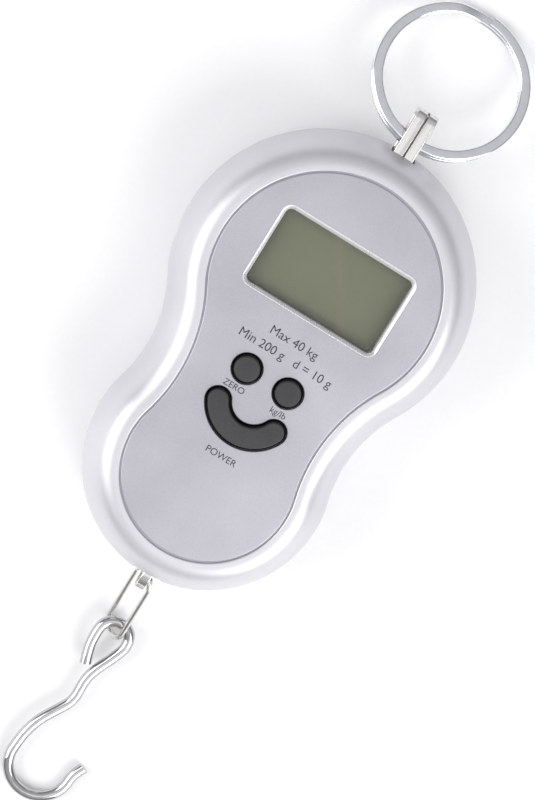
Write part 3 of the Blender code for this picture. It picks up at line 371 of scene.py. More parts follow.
jacket = finish("battery jacket", bands, {"Pitch": 52 * mm, "Waver": 0.0}, (0.03, 0.035, 0.05),
                (0.62, 0.42, 0.16), 0.22, 0.3, bump=0.02, Metallic=0.6, Coat_Weight=0.5, Coat_Roughness=0.1)
solder_mask = finish("solder mask", bands,
                     {"Pitch": 1.3 * mm, "Across X": 0.7, "Across Y": 0.7, "Waver": 1.4},
                     (0.012, 0.10, 0.045), (0.03, 0.19, 0.09), 0.25, 0.4, bump=0.3)
moulding = finish("black moulding", grain, {"Scale": 2600.0, "Cloud": 200.0, "Cloud Share": 0.3},
                  (0.022, 0.022, 0.023), (0.045, 0.045, 0.046), 0.4, 0.6, bump=0.3)


def sleeve(name, dark, light):
    return finish(name, grain, {"Scale": 2400.0, "Cloud": 260.0, "Cloud Share": 0.6}, dark, light,
                  0.38, 0.55, bump=0.15)


sleeves = {
    "red_lead": sleeve("red sleeve", (0.42, 0.02, 0.015), (0.58, 0.04, 0.03)),
    "black_lead": sleeve("black sleeve", (0.015, 0.015, 0.015), (0.035, 0.035, 0.035)),
    "green_lead": sleeve("green sleeve", (0.02, 0.22, 0.06), (0.04, 0.33, 0.10)),
    "white_lead": sleeve("white sleeve", (0.62, 0.62, 0.60), (0.75, 0.75, 0.73)),
}
print("metals and plastics made")

# %% [markdown]
# The display is olive grey. It is painted darker towards its frame, a painted shade for the shade that
# the window's edge casts on it, and it carries one faint pink band, a painted reflection. The film group
# measures the distance to the frame on the object's own coordinates.

# %% Display film
window_y, window_width, window_height = 24.0 * mm, 33.7 * mm, 19.3 * mm
film, given, out, place = effect("Display film", {
    "Half Width": window_width / 2, "Half Height": window_height / 2, "Shade": 2.2 * mm,
    "Streak At": 15.4 * mm, "Streak Width": 1.6 * mm,
})
parts = node(film, "ShaderNodeSeparateXYZ", {0: place})
side = math(film, "SUBTRACT", given["Half Width"], math(film, "ABSOLUTE", parts.outputs["X"]))
end = math(film, "SUBTRACT", given["Half Height"],
           math(film, "ABSOLUTE", math(film, "SUBTRACT", parts.outputs["Y"], window_y)))
near = math(film, "MINIMUM", side, end)
# Painted shade: the display is darker within Shade of its frame.
lit = ramp(film, math(film, "DIVIDE", near, given["Shade"]), -0.3, 1.0)
film.links.new(lit, out["Mask"])
# Painted reflection: a faint band along a slant across the display.
slant = math(film, "ADD", math(film, "MULTIPLY", parts.outputs["X"], 0.85),
             math(film, "MULTIPLY", parts.outputs["Y"], 0.53))
away = math(film, "ABSOLUTE", math(film, "SUBTRACT", slant, given["Streak At"]))
film.links.new(ramp(film, math(film, "DIVIDE", away, given["Streak Width"]), 1.0, 0.0), out["Height"])

display_film = bpy.data.materials.new("olive display film")
display_film.use_nodes = True
tree = display_film.node_tree
shown = node(tree, "ShaderNodeGroup", node_tree=film)
speck = node(tree, "ShaderNodeGroup", node_tree=grain)
olive = node(tree, "ShaderNodeMix",
             {0: shown.outputs["Mask"], 6: (0.072, 0.078, 0.042, 1), 7: (0.150, 0.158, 0.084, 1)},
             data_type="RGBA")
# The pink band mixed in here is a painted reflection.
rosy_painted_reflection = node(tree, "ShaderNodeMix", {0: math(tree, "MULTIPLY", shown.outputs["Height"], 0.35),
            6: olive.outputs[2], 7: (0.23, 0.17, 0.12, 1)}, data_type="RGBA")
shader = tree.nodes["Principled BSDF"]
tree.links.new(rosy_painted_reflection.outputs[2], shader.inputs["Base Color"])
tree.links.new(ramp(tree, speck.outputs["Mask"], 0.0, 1.0, 0.28, 0.36), shader.inputs["Roughness"])
print("display film made")

# %% [markdown]
# The window is clear acrylic in front of the display. A weak alpha keeps its gloss and tint without
# bending the light, and the grain group makes it a little more solid where dust and rubbing mark it.

# %% Window
clear_acrylic = bpy.data.materials.new("clear acrylic")
clear_acrylic.use_nodes = True
tree = clear_acrylic.node_tree
dust = node(tree, "ShaderNodeGroup", node_tree=grain)
dust.inputs["Scale"].default_value = 900.0
shader = tree.nodes["Principled BSDF"]
shader.inputs["Base Color"].default_value = (0.30, 0.31, 0.28, 1)
shader.inputs["Specular IOR Level"].default_value = 0.6
tree.links.new(ramp(tree, dust.outputs["Mask"], 0.0, 1.0, 0.08, 0.13), shader.inputs["Alpha"])
tree.links.new(ramp(tree, dust.outputs["Mask"], 0.0, 1.0, 0.03, 0.09), shader.inputs["Roughness"])

# %% [markdown]
# Every CAD node that stays gets the finish of its material slot. The table below goes from the
# record's slot to the finish, so nothing that shows keeps a plain colour.

# %% Finishes for the CAD nodes
finish_of = {
    "silver_shell": shell_paint, "silver_panel": panel_paint, "clear_window": clear_acrylic,
    "display_glass": display_film, "key_rubber": key_rubber, "black_plastic": moulding,
    "circuit_board": solder_mask, "aluminium": milled, "hanger_steel": strip_steel,
    "inner_steel": inner_steel, "contact_metal": spring_nickel, "chrome": ring_chrome,
    "screw_steel": inner_steel, "cell_jacket": jacket, "gauge_foil": foil, **sleeves,
}
slot_of = {row["node"]: row["material_slot"] for row in frame["record"]["subparts"]}
for name, cad in nodes.items():
    for slot in cad.material_slots:
        slot.material = finish_of[slot_of[name]]
print(len(slot_of), "nodes in", len(finish_of), "finishes")

# %% [markdown]
# ## Casing
# The front of the casing is one moulding. Its rim rolls in from the seam as a quarter of an ellipse
# and stops at a bed for the face plate. A loft through the outline gives the roll, and exact booleans
# open the bed, the window, the key holes and the two mouths for the metalwork.

# %% Heights
seam_low, seam_high = rear_box[1].z, front_box[0].z
rim = front_box[1].z
face = panel_box[1].z
bed = panel_box[0].z - gap
ceiling = bed - 1.8 * mm
wall = 2.0 * mm
over = 1.0 * mm  # how far a cutter reaches past what it cuts
window_flange = 1.6 * mm
front_round, back_round = 7.7 * mm, 10 * mm
bed_inset = 8.7 * mm
seam_round = 0.2 * mm
lip = 0.35 * mm
screw_bore, screw_bore_top, boss_radius = 1.6 * mm, 19 * mm, 3.2 * mm
board_boss_radius, board_bore = 2.2 * mm, 1.2 * mm
board_screw_places = [(20.0 * mm, 5.5 * mm), (-20.0 * mm, 5.5 * mm), (0.0, -24.8 * mm)]
screw_rows = (18.5 * mm, 43.0 * mm), (19.5 * mm, -40.0 * mm)
screw_places = [(side * x, y) for x, y in screw_rows for side in (1, -1)]
print("seam", round(seam_high / mm, 2), "rim", round(rim / mm, 2), "face", round(face / mm, 2))

# %% Key outlines
key_gap = 0.5 * mm
key_radius, key_x, key_y = 3.2 * mm, 5.5 * mm, -2.9 * mm
smile_y, smile_radius, smile_half, smile_start = -8.6 * mm, 8.3 * mm, 2.6 * mm, radians(26)


def smile(half):
    """The smile-shaped key's outline: a band along an arc with round ends."""
    start, end = -smile_start, smile_start - pi
    outer = arc(0, smile_y, smile_radius + half, start, end, 56)
    inner = arc(0, smile_y, smile_radius - half, end, start, 56)
    left = (smile_radius * cos(end), smile_y + smile_radius * sin(end))
    right = (smile_radius * cos(start), smile_y + smile_radius * sin(start))
    return (outer + arc(*left, half, end, end - pi, 20)[1:-1]
            + inner + arc(*right, half, start + pi, start, 20)[1:-1])


def smile_loft(name, sections):
    return loft(name, [[(x, y, z) for x, y in smile(half)] for half, z in sections])


def window_loft(name, sections, closed=False):
    def ring(extra):
        return rounded(0, window_y, window_width + 2 * extra, window_height + 2 * extra, 1.4 * mm + extra)
    return loft(name, [[(x, y, z) for x, y in ring(extra)] for extra, z in sections], closed=closed)


def key_holes(low, high, soften=0.0):
    """Cutters for the three key holes. Softened ones flare at the top and leave a small round edge."""
    steps = [(0.0, low), (0.0, high)]
    if soften:
        steps = [(0.0, low)] + [(soften * (1 - cos(a)), face - soften + soften * sin(a))
                                for a in (0.0, 0.4, 0.8, 1.2)] + [(soften, high)]
    for side, label in ((-1, "left"), (1, "right")):
        rings = []
        for more, z in steps:
            circle = arc(side * key_x, key_y, key_radius + key_gap + more, 0, 2 * pi, 64)[:-1]
            rings.append([(x, y, z) for x, y in circle])
        yield cut(loft(f"{label}_key_hole", rings))
    yield cut(smile_loft("smile_hole", [(smile_half + key_gap + more, z) for more, z in steps]))


# %% Mouths for the metalwork
hanger_box, bracket_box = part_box("hanger_loop"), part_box("hook_bracket")
room = Vector((0.45, 0, 0.45)) * mm
mouth_depth = 6 * mm
hanger_mouth = ((hanger_box[0] - room).x, body_end - mouth_depth, (hanger_box[0] - room).z), \
               ((hanger_box[1] + room).x, body_end + over, (hanger_box[1] + room).z)
mouth_half, chain_x = 3.7 * mm, 1.0 * mm
bracket_mouth = (chain_x - mouth_half, -body_end - over, (bracket_box[0] - room).z), \
                (chain_x + mouth_half, mouth_depth - body_end, (bracket_box[1] + room).z)


def mouths():
    yield cut(boxed("hanger_mouth", *hanger_mouth))
    yield cut(boxed("bracket_mouth", *bracket_mouth))


# %% Front casing
rim_curve = quarter(0, front_round, seam_high, rim - seam_high)
front_curve = [(seam_round, seam_high), (0.06 * mm, seam_high + 0.06 * mm), (0, seam_high + seam_round)]
front_curve += rim_curve[1:]
front_casing = add("front_casing", casing_loft("front_casing", front_curve), shell_paint)
hollow = [(wall, seam_high - over)] + quarter(wall, front_round, seam_high, ceiling - seam_high)
bed_cut = [(bed_inset, bed)] + [
    (bed_inset - lip * (1 - cos(a)), rim - lip + lip * sin(a)) for a in (0.0, 0.35, 0.7, 1.05, 1.35)
] + [(bed_inset - lip, rim + over)]
bosses = []
for i, (x, y) in enumerate(screw_places):
    bosses.append(join(round_bar(f"boss_{i + 1}", x, y, seam_high, ceiling + over, boss_radius)))
    bosses.append(cut(round_bar(f"bore_{i + 1}", x, y, 0, screw_bore_top, screw_bore)))
board_boss_low = nodes["main_board"].bound_box[6][2] + gap
board_bore_top = ceiling - 0.5 * mm
for i, (x, y) in enumerate(board_screw_places):
    bosses.append(join(round_bar(f"board_boss_{i + 1}", x, y, board_boss_low, ceiling + over,
                                 board_boss_radius)))
    bosses.append(cut(round_bar(f"board_bore_{i + 1}", x, y, board_boss_low - over,
                                board_bore_top, board_bore)))
flange_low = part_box("display_window")[0].z
pocket = window_flange + gap
sculpt(front_casing, [
    cut(casing_loft("front_hollow", hollow)),
    cut(casing_loft("panel_bed", bed_cut)),
    *key_holes(ceiling - over, rim + over),
    cut(window_loft("shell_window", [(0, ceiling - over), (0, bed + over)])),
    cut(window_loft("flange_pocket", [(pocket, flange_low - gap), (pocket, bed + over)])),
    *bosses,
    *mouths(),
])
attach(front_casing, "root")
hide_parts("front_shell")

# %% [markdown]
# ## Face plate
# The plate is a flat moulding with a small round edge, set into the bed with a thin dark groove round
# it. The window's sloping edge is painted much lighter than the grained plate, a painted highlight for
# the light that the slope catches, so it is its own piece: a closed loft through rounded rectangles, up
# its outer side, over the top and down the slope.

# %% Face plate and window edge
plate_round = 0.35 * mm
plate_inset = bed_inset + gap
ledge = bed_inset + 0.04 * mm
plate_low, ledge_top = panel_box[0].z, face - 0.45 * mm
plate_curve = [(ledge, plate_low), (ledge, ledge_top), (plate_inset, ledge_top)] + [
    (plate_inset + plate_round * (1 - cos(a)), face - plate_round + plate_round * sin(a))
    for a in [pi / 2 * i / 6 for i in range(7)]
]
face_plate = add("face_plate", casing_loft("face_plate", plate_curve), panel_paint)
edge_wide, bevel = 1.05 * mm, 0.8 * mm
sculpt(face_plate, [
    *key_holes(plate_low - over, face + over, 0.25 * mm),
    cut(window_loft("plate_window", [(edge_wide, plate_low - over), (edge_wide, face + over)])),
])
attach(face_plate, "root")
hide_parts("face_panel")
# The window's sloping edge takes the painted highlight.
window_edge = add("window_edge", window_loft("window_edge", [
    (edge_wide - 0.02 * mm, plate_low), (edge_wide - 0.02 * mm, face - 0.08 * mm),
    (edge_wide - 0.10 * mm, face), (bevel, face), (bevel - 0.08 * mm, face - 0.04 * mm),
    (0.04 * mm, face - bevel + 0.08 * mm), (0, face - bevel), (0, plate_low),
], closed=True), bevel_painted_highlight)
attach(window_edge, "root")

# %% Window pane
pane_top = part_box("display_window")[1].z
window_pane = add("window_pane", window_loft("window_pane", [
    (window_flange, flange_low), (window_flange, bed), (-gap, bed), (-gap, pane_top - 0.12 * mm),
    (-gap - 0.04 * mm, pane_top - 0.04 * mm), (-gap - 0.12 * mm, pane_top),
]), clear_acrylic)
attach(window_pane, "root")
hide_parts("display_window")
print("pane top", round(pane_top / mm, 2))

# %% [markdown]
# ## Keys
# The caps are soft rubber with a rounded shoulder, a slightly crowned top and a flange below that
# keeps them under the casing. The round ones are turned, which here is a loft through circles, and the
# smile-shaped one is lofted through its own outline. Each rides on its own body, so it can be pressed.

# %% Rubber keys
key_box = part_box("tare_key")
key_low, key_top = key_box[0].z, key_box[1].z
shoulder = 0.35 * mm
crown = 0.1 * mm
taper = 0.22 * mm
flange, flange_top = 1.2 * mm, key_low + 0.8 * mm
cap_curve = [(flange, key_low), (flange, flange_top), (0, flange_top)]
cap_curve += [(-taper - shoulder * (1 - cos(a)), key_top - crown - shoulder + shoulder * sin(a))
              for a in [pi / 2 * i / 8 for i in range(9)]]
for name, node_name, x in (("left_key", "tare_key", -key_x), ("right_key", "unit_key", key_x)):
    crowned = [(r - key_radius, key_top - crown * (r / (key_radius - shoulder - taper)) ** 2)
               for r in [2.1 * mm, 1.5 * mm, 0.9 * mm, 0.3 * mm]]
    rings = [[(px, py, z) for px, py in arc(x, key_y, key_radius + more, 0, 2 * pi, 72)[:-1]]
             for more, z in cap_curve + crowned]
    cap = add(name, loft(name, rings), key_rubber)
    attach(cap, node_name)
    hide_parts(node_name)
smile_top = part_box("power_key")[1].z
smile_curve = [(smile_half + more, z - key_top + crown + smile_top) for more, z in cap_curve[3:]]
smile_curve = [(smile_half + more, z) for more, z in cap_curve[:3]] + smile_curve
smile_key = add("smile_key", smile_loft("smile_key", smile_curve), key_rubber)
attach(smile_key, "power_key")
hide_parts("power_key")
print("keys to", round(key_top / mm, 2), "and", round(smile_top / mm, 2), "mm")

# %% [markdown]
# ## Marks
# The plate carries small printed marks: the range, the smallest step, and a word or a unit by each key.
# They are set in Blender's own font and made into meshes as thin as ink.

# %% Printed marks
ink = 0.02 * mm


def words(name, text, x, y, height):
    """A line of text centred on x, with its capitals between y and y + height."""
    letters = bpy.data.curves.new(name, "FONT")
    letters.body = text
    letters.align_x = "CENTER"
    letters.size = height / 0.7
    letters.extrude = ink / 2
    shape = bpy.data.objects.new(name, letters)
    work.objects.link(shape)
    mesh = bpy.data.meshes.new_from_object(shape.evaluated_get(bpy.context.evaluated_depsgraph_get()))
    bpy.data.objects.remove(shape)
    mesh.transform(Matrix.Translation((x, y, face + ink / 2)))
    made = add(name, mesh, dark_print)
    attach(made, "root")


words("range_mark", "Max 40 kg", 0.5 * mm, 6.9 * mm, 2.1 * mm)
words("step_mark", "Min 200 g   d = 10 g", 0.6 * mm, 2.9 * mm, 2.1 * mm)
words("zero_mark", "ZERO", -5.9 * mm, -8.6 * mm, 1.5 * mm)
words("unit_mark", "kg/lb", 5.9 * mm, -8.6 * mm, 1.5 * mm)
words("power_mark", "POWER", 0, -23.9 * mm, 1.6 * mm)
print("five marks printed")

# %% [markdown]
# ## Wire and ring
# The split ring, the link and the hook are all one section swept along a path. A Geometry Nodes tree
# does that once for all three: it draws a rectangle, rounds its corners and sweeps it. With corners of
# half the width the section is round wire; with small corners it is the flattened wire of the ring.

# %% Swept wire tree
swept = bpy.data.node_groups.new("Swept wire", "GeometryNodeTree")
swept.interface.new_socket("Path", in_out="INPUT", socket_type="NodeSocketGeometry")
for label, size in (("Width", 1.0 * mm), ("Height", 1.0 * mm), ("Corner", 0.5 * mm)):
    swept.interface.new_socket(label, in_out="INPUT", socket_type="NodeSocketFloat").default_value = size
swept.interface.new_socket("Corner Steps", in_out="INPUT", socket_type="NodeSocketInt").default_value = 6
swept.interface.new_socket("Finish", in_out="INPUT", socket_type="NodeSocketMaterial")
swept.interface.new_socket("Wire", in_out="OUTPUT", socket_type="NodeSocketGeometry")
given = swept.nodes.new("NodeGroupInput").outputs
section = node(swept, "GeometryNodeCurvePrimitiveQuadrilateral", {0: given["Width"], 1: given["Height"]})
fillet = node(swept, "GeometryNodeFilletCurve", {"Curve": section.outputs[0], "Count": given["Corner Steps"],
              "Radius": given["Corner"], "Limit Radius": True}, mode="POLY")
level_way = node(swept, "GeometryNodeSetCurveNormal", {"Curve": given["Path"]}, mode="Z_UP")
skin = node(swept, "GeometryNodeCurveToMesh",
            {"Curve": level_way.outputs[0], "Profile Curve": fillet.outputs[0], "Fill Caps": True})
shade = node(swept, "GeometryNodeSetShadeSmooth", {"Geometry": skin.outputs[0]})
real = node(swept, "GeometryNodeRealizeInstances", {"Geometry": shade.outputs[0]})
coated = node(swept, "GeometryNodeSetMaterial", {"Geometry": real.outputs[0], "Material": given["Finish"]})
swept.links.new(coated.outputs[0], swept.nodes.new("NodeGroupOutput").inputs[0])


def grown(holder, label, tree, values):
    """The mesh that a tree makes on an object, with the tree's inputs set by their identifiers."""
    step = holder.modifiers.new(label, "NODES")
    step.node_group = tree
    for item in tree.interface.items_tree:
        if item.in_out == "INPUT" and item.name in values:
            step[item.identifier] = values[item.name]
    return bpy.data.meshes.new_from_object(holder.evaluated_get(bpy.context.evaluated_depsgraph_get()))


def through(points, steps=6):
    """A smooth line through points (Catmull-Rom), with a few steps between each two."""
    ends = [points[0] * 2 - points[1], *points, points[-1] * 2 - points[-2]]
    line = []
    for a, b, c, d in zip(ends, ends[1:], ends[2:], ends[3:]):
        for i in range(steps):
            t = i / steps
            line.append(0.5 * (2 * b + (c - a) * t + (2 * a - 5 * b + 4 * c - d) * t**2
                               + (3 * b - a - 3 * c + d) * t**3))
    return line + [points[-1]]


def sweep(name, points, width, height, corner, steps, coat, transform, cyclic=False, blunt=0.0):
    """Runs the tree on a path. A blunt wire's ends are rounded over by this much."""
    path = bpy.data.curves.new(name, "CURVE")
    path.dimensions = "3D"
    spline = path.splines.new("POLY")
    radii = [1.0] * len(points)
    if blunt:
        shares = ((0.0, 1 - 2 * blunt / width), (0.35 * blunt, 1 - 0.6 * blunt / width), (blunt, 1.0))
        head = (points[1] - points[0]).normalized()
        tail = (points[-1] - points[-2]).normalized()
        points = [points[0] + head * s for s, _ in shares] + points[1:-1] \
            + [points[-1] - tail * s for s, _ in reversed(shares)]
        radii = [r for _, r in shares] + radii[2:] + [r for _, r in reversed(shares)]
    spline.points.add(len(points) - 1)
    spline.use_cyclic_u = cyclic
    for point, at, radius in zip(spline.points, points, radii):
        point.co, point.radius = (*at, 1), radius
    holder = bpy.data.objects.new(name, path)
    work.objects.link(holder)
    mesh = grown(holder, "swept wire", swept, {
        "Width": width, "Height": height, "Corner": corner, "Corner Steps": steps, "Finish": coat})
    bpy.data.objects.remove(holder)
    bm = bmesh.new()
    bm.from_mesh(mesh)
    bmesh.ops.remove_doubles(bm, verts=bm.verts, dist=0.001 * mm)
    made = add(name, to_mesh(bm, name, transform, radians(40)), coat)
    print(name, len(made.data.polygons), "faces", [round(v / mm, 2) for v in made.dimensions])
    return made


# %% [markdown]
# The ring is two turns of flattened wire. The turns lie on each other, and a short slope near the far
# end takes the wire from the lower layer to the upper one. The path is drawn level, then the whole
# ring is tipped about the place where it crosses the hanger.

# %% Split ring
ring_at = Vector(next(j["pos_m"] for j in frame["joints"] if j["name"] == "ring_swing"))
ring_centre_radius = 17.65 * mm
ring_tip = radians(-20.697)
ring_width, ring_thick, ring_corner = 2.7 * mm, 1.5 * mm, 0.7 * mm
layer = 1.7 * mm
first_turn, all_turns, slope_start, slope_turns = 30, 686, 361, 24  # in degrees
ring_turn = Matrix.Translation(ring_at) @ Matrix.Rotation(ring_tip, 4, "X")


def ring_height(turn):
    share = min(1.0, max(0.0, (turn - slope_start) / slope_turns))
    return layer * (share * share * (3 - 2 * share) - 0.5)


coil = []
for i in range(341):
    turn = first_turn + all_turns * i / 340
    coil.append(Vector((ring_centre_radius * cos(radians(turn + 90)),
                        ring_centre_radius * (1 + sin(radians(turn + 90))), ring_height(turn))))
split_ring = sweep("ring_wire", coil, ring_width, ring_thick, ring_corner, 8, ring_chrome, ring_turn,
                   blunt=0.25 * mm)
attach(split_ring, "ring")
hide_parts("split_ring")

# %% [markdown]
# The link is a long loop of thin wire with round ends. The hook is thicker wire: its eye curls round
# the end of the link and closes against the shank, and the shank bends once before the bowl. Both
# wires are a few hundredths thinner than the frame's, so that round sections swing clear of each other.

# %% Link
link_at = Vector(next(j["pos_m"] for j in frame["joints"] if j["name"] == "link_swing"))
link_turn = (Matrix.Translation(link_at) @ Matrix.Rotation(radians(4), 4, "Z")
             @ Matrix.Rotation(radians(34.276), 4, "X") @ Matrix.Rotation(radians(-50), 4, "Y"))
link_wire = 1.34 * mm
bend = 3.4 * mm
far = 19.3 * mm
loop = [Vector((x, y, 0)) for x, y in arc(0, -bend, bend, 0, pi, 36) + arc(0, -far, bend, pi, 2 * pi, 36)]
wire_link = sweep("wire_link", loop, link_wire, link_wire, link_wire / 2, 6, strip_steel, link_turn,
                  cyclic=True)
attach(wire_link, "link")
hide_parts("link")

# %% Hook
hook_at = Vector(next(j["pos_m"] for j in frame["joints"] if j["name"] == "hook_swing"))
hook_turn = (Matrix.Translation(hook_at) @ Matrix.Rotation(radians(2.555), 4, "X")
             @ Matrix.Rotation(radians(4), 4, "Y") @ Matrix.Translation((1.1 * mm, 0, 0)))
hook_wire = 2.74 * mm
eye = 3.85  # its radius; this and the hook's points are in millimetres from the top of the eye
closing = [(-2.25, -12.6), (-2.95, -10.6), (-3.6, -8.2), (-3.85, -6.0)]
neck = [(3.8, -5.4), (2.4, -9.1), (1.05, -12.1), (0.2, -14.8), (-0.05, -16.8), (0.0, -18.8)]
elbow = [(0.05, -20.8), (-0.35, -22.7), (-1.3, -24.6)]
shank = [(-2.4, -26.5), (-3.6, -28.6), (-4.6, -30.8), (-5.35, -33.2), (-5.8, -35.8)]
bowl = arc(1.75, -39.4, 7.8, radians(174), radians(362), 16)
tip = [(9.95, -37.2), (10.95, -35.0)]
hook_line = closing + arc(0, -eye, eye, pi, 0, 12) + neck + elbow + shank + bowl + tip
path = through([Vector((x * mm, y * mm, 0)) for x, y in hook_line])
wire_hook = sweep("wire_hook", path, hook_wire, hook_wire, hook_wire / 2, 9, hook_chrome, hook_turn,
                  blunt=0.3 * mm)
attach(wire_hook, "hook")
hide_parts("hook")

# %% [markdown]
# ## Hanger and bracket
# Both are steel strip bent to a U. The strip's section is drawn once, with rounded edges and, on the
# hanger, a groove pressed along the middle, and it is carried round the bend point by point. The faces
# sunk in the groove take a darker finish: painted shade, standing in for the shade inside the groove.

# %% Bent strips
def bent_strip(name, x, open_y, end_y, height, half_slot, thickness, corner, width, edge, groove=None):
    """A strip bent round a slot. Its section is (across, outwards) pairs, and it turns at two corners."""
    forward = 1 if end_y > open_y else -1
    section = rounded(0, thickness / 2, width, thickness, edge, 4)
    if groove:
        half, deep, soft = groove
        down = [(half + soft, thickness), (half + 0.3 * soft, thickness - 0.3 * soft),
                (half, thickness - soft), (half - 0.08 * mm, thickness - deep)]
        top = down + [(-across, outward) for across, outward in reversed(down)]
        split = next(i for i, (across, _) in enumerate(section) if across < 0)
        section = section[:split] + top + section[split:]
    stations = [(open_y, -half_slot, 0.0, -1.0)]
    for sign in (-1, 1):
        for i in range(13):
            turn = pi / 2 * i / 12
            out = (sin(turn), -cos(turn)) if sign < 0 else (cos(turn), sin(turn))
            centre = (end_y - forward * (thickness + corner), sign * (half_slot - corner))
            stations.append((centre[0] + forward * corner * out[0], centre[1] + corner * out[1],
                             forward * out[0], out[1]))
    stations.append((open_y, half_slot, 0.0, 1.0))
    rings = [[(x + across, y + ny * outward, height + z + nz * outward) for across, outward in section]
             for y, z, ny, nz in stations]
    return loft(name, rings)


load_height = link_at.z
slot_half, hanger_thick = 2.5 * mm, 1.5 * mm
hanger_bend, hanger_wide, hanger_edge = 0.8 * mm, 5.2 * mm, 0.35 * mm
groove_half, groove_deep, groove_soft = 0.22 * mm, 0.5 * mm, 0.08 * mm
hanger_pin_y, hanger_bore = 48.5 * mm, 1.8 * mm
hanger_mesh = bent_strip("hanger_strip", 0, hanger_box[0].y, hanger_box[1].y, load_height, slot_half,
                         hanger_thick, hanger_bend, hanger_wide, hanger_edge,
                         (groove_half, groove_deep, groove_soft))
hanger_strip = add("hanger_strip", hanger_mesh, strip_steel)
sculpt(hanger_strip, [cut(round_bar("hanger_bore", 0, hanger_pin_y, 0, rim, hanger_bore))])
# The faces sunk in the groove take the painted shade.
hanger_strip.data.materials.append(groove_painted_shade)
skin_deep = 0.12 * mm
lower_face, upper_face = hanger_box[0].z + skin_deep, hanger_box[1].z - skin_deep
end_face = hanger_box[1].y - skin_deep
for face_of in hanger_strip.data.polygons:
    middle = face_of.center
    sunk = lower_face < middle.z < upper_face and middle.y < end_face
    outside = abs(middle.z - load_height) > slot_half + 0.7 * mm or middle.y > end_face - 0.6 * mm
    if abs(middle.x) < groove_half + 0.02 * mm and sunk and outside:
        face_of.material_index = 1
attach(hanger_strip, "root")
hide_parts("hanger_loop")
bracket_half, bracket_thick = 3.0 * mm, 1.2 * mm
bracket_bend, bracket_wide, bracket_edge = 2.98 * mm, 2.3 * mm, 0.25 * mm
bracket_pin_y, bracket_bore = -50.4 * mm, 0.85 * mm
bracket_mesh = bent_strip("bracket_strip", link_at.x, bracket_box[1].y, bracket_box[0].y, load_height,
                          bracket_half, bracket_thick, bracket_bend, bracket_wide, bracket_edge)
bracket_strip = add("bracket_strip", bracket_mesh, strip_steel)
sculpt(bracket_strip, [cut(round_bar("bracket_bore", link_at.x, bracket_pin_y, 0, rim, bracket_bore))])
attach(bracket_strip, "root")
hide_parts("hook_bracket")

# %% [markdown]
# ## Back of the casing
# The back half rolls in to a flat with the battery bay, its door, and a bore with a deep seat for each
# of the four screws. The bay and the bosses are joined to the hollow half before the openings are cut.

# %% Rear casing
door_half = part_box("battery_door")[1].x
door_top = 9.6 * mm
door_low_end = -46.6 * mm
door_middle, door_long = (door_top + door_low_end) / 2, door_top - door_low_end
door_thick, door_corner = 1.4 * mm, 3 * mm
tongue_x, tongue_half, tongue_low, tongue_high = 7.5 * mm, 1.5 * mm, 0.9 * mm, 2.0 * mm
tongue_reach, tongue_root = 1.9 * mm, 1.0 * mm
latch_half, latch_low, latch_back, latch_top = 4 * mm, 0.7 * mm, 7.8 * mm, 5 * mm
bay_wall, seat_wall = 1.2 * mm, 1.5 * mm
bay_half, bay_low, bay_high, bay_roof = 11.3 * mm, -43.9 * mm, 6.9 * mm, 13.9 * mm
bay_ceiling = bay_roof - bay_wall
cradle_half, cradle_wall, cradle_top = 10 * mm, 1.5 * mm, 8.7 * mm
post_radius, seat_radius, seat_deep = 3.85 * mm, 2.9 * mm, 4 * mm
tab_x, tab_half = 5.6 * mm, 1.3 * mm
rear_curve = quarter(0, back_round, seam_low, -seam_low)[:0:-1]
rear_curve += [(0, seam_low - seam_round), (0.06 * mm, seam_low - 0.06 * mm), (seam_round, seam_low)]
rear_hollow = quarter(wall, back_round, seam_low, wall - seam_low)[::-1] + [(wall, seam_low + over)]
inside = quarter(wall / 2, back_round, seam_low, wall / 2 - seam_low)[::-1] + [(wall / 2, seam_low + over)]
rear_casing = add("rear_casing", casing_loft("rear_casing", rear_curve), shell_paint)
steps = [
    cut(casing_loft("rear_hollow", rear_hollow)),
    join(boxed("door_seat", (-door_half - seat_wall, door_low_end - seat_wall, wall / 2),
               (door_half + seat_wall, door_top + seat_wall, door_thick + seat_wall))),
    join(boxed("battery_bay", (-bay_half - bay_wall, bay_low - bay_wall, wall / 2),
               (bay_half + bay_wall, bay_high + bay_wall, bay_roof))),
]
for i, y in enumerate((21.0 * mm, 39.0 * mm)):
    steps.append(join(boxed(f"cradle_{i + 1}", (-cradle_half, y - cradle_wall / 2, wall / 2),
                            (cradle_half, y + cradle_wall / 2, cradle_top))))
for i, (x, y) in enumerate(screw_places):
    post = add(f"post_{i + 1}", round_bar(f"post_{i + 1}", x, y, 0, seam_low, post_radius))
    sculpt(post, [("INTERSECT", casing_loft("inside", inside))])
    steps.append(join(post.data.copy()))
    bpy.data.objects.remove(post)
    steps.append(cut(round_bar(f"seat_{i + 1}", x, y, -over, seat_deep, seat_radius)))
    steps.append(cut(round_bar(f"hole_{i + 1}", x, y, -over, screw_bore_top, screw_bore)))
bed_loop = rounded(0, door_middle, 2 * (door_half + gap), door_long + 2 * gap, door_corner + gap)
steps += [
    cut(boxed("bay_room", (-bay_half, bay_low, -over), (bay_half, bay_high, bay_ceiling))),
    cut(loft("door_bed", [[(x, y, z) for x, y in bed_loop] for z in (-over, door_thick + gap)])),
    cut(boxed("latch_room", (-latch_half - 2 * gap, bay_high - over, door_thick),
              (latch_half + 2 * gap, door_top + 2 * gap, latch_top + 2 * gap))),
]
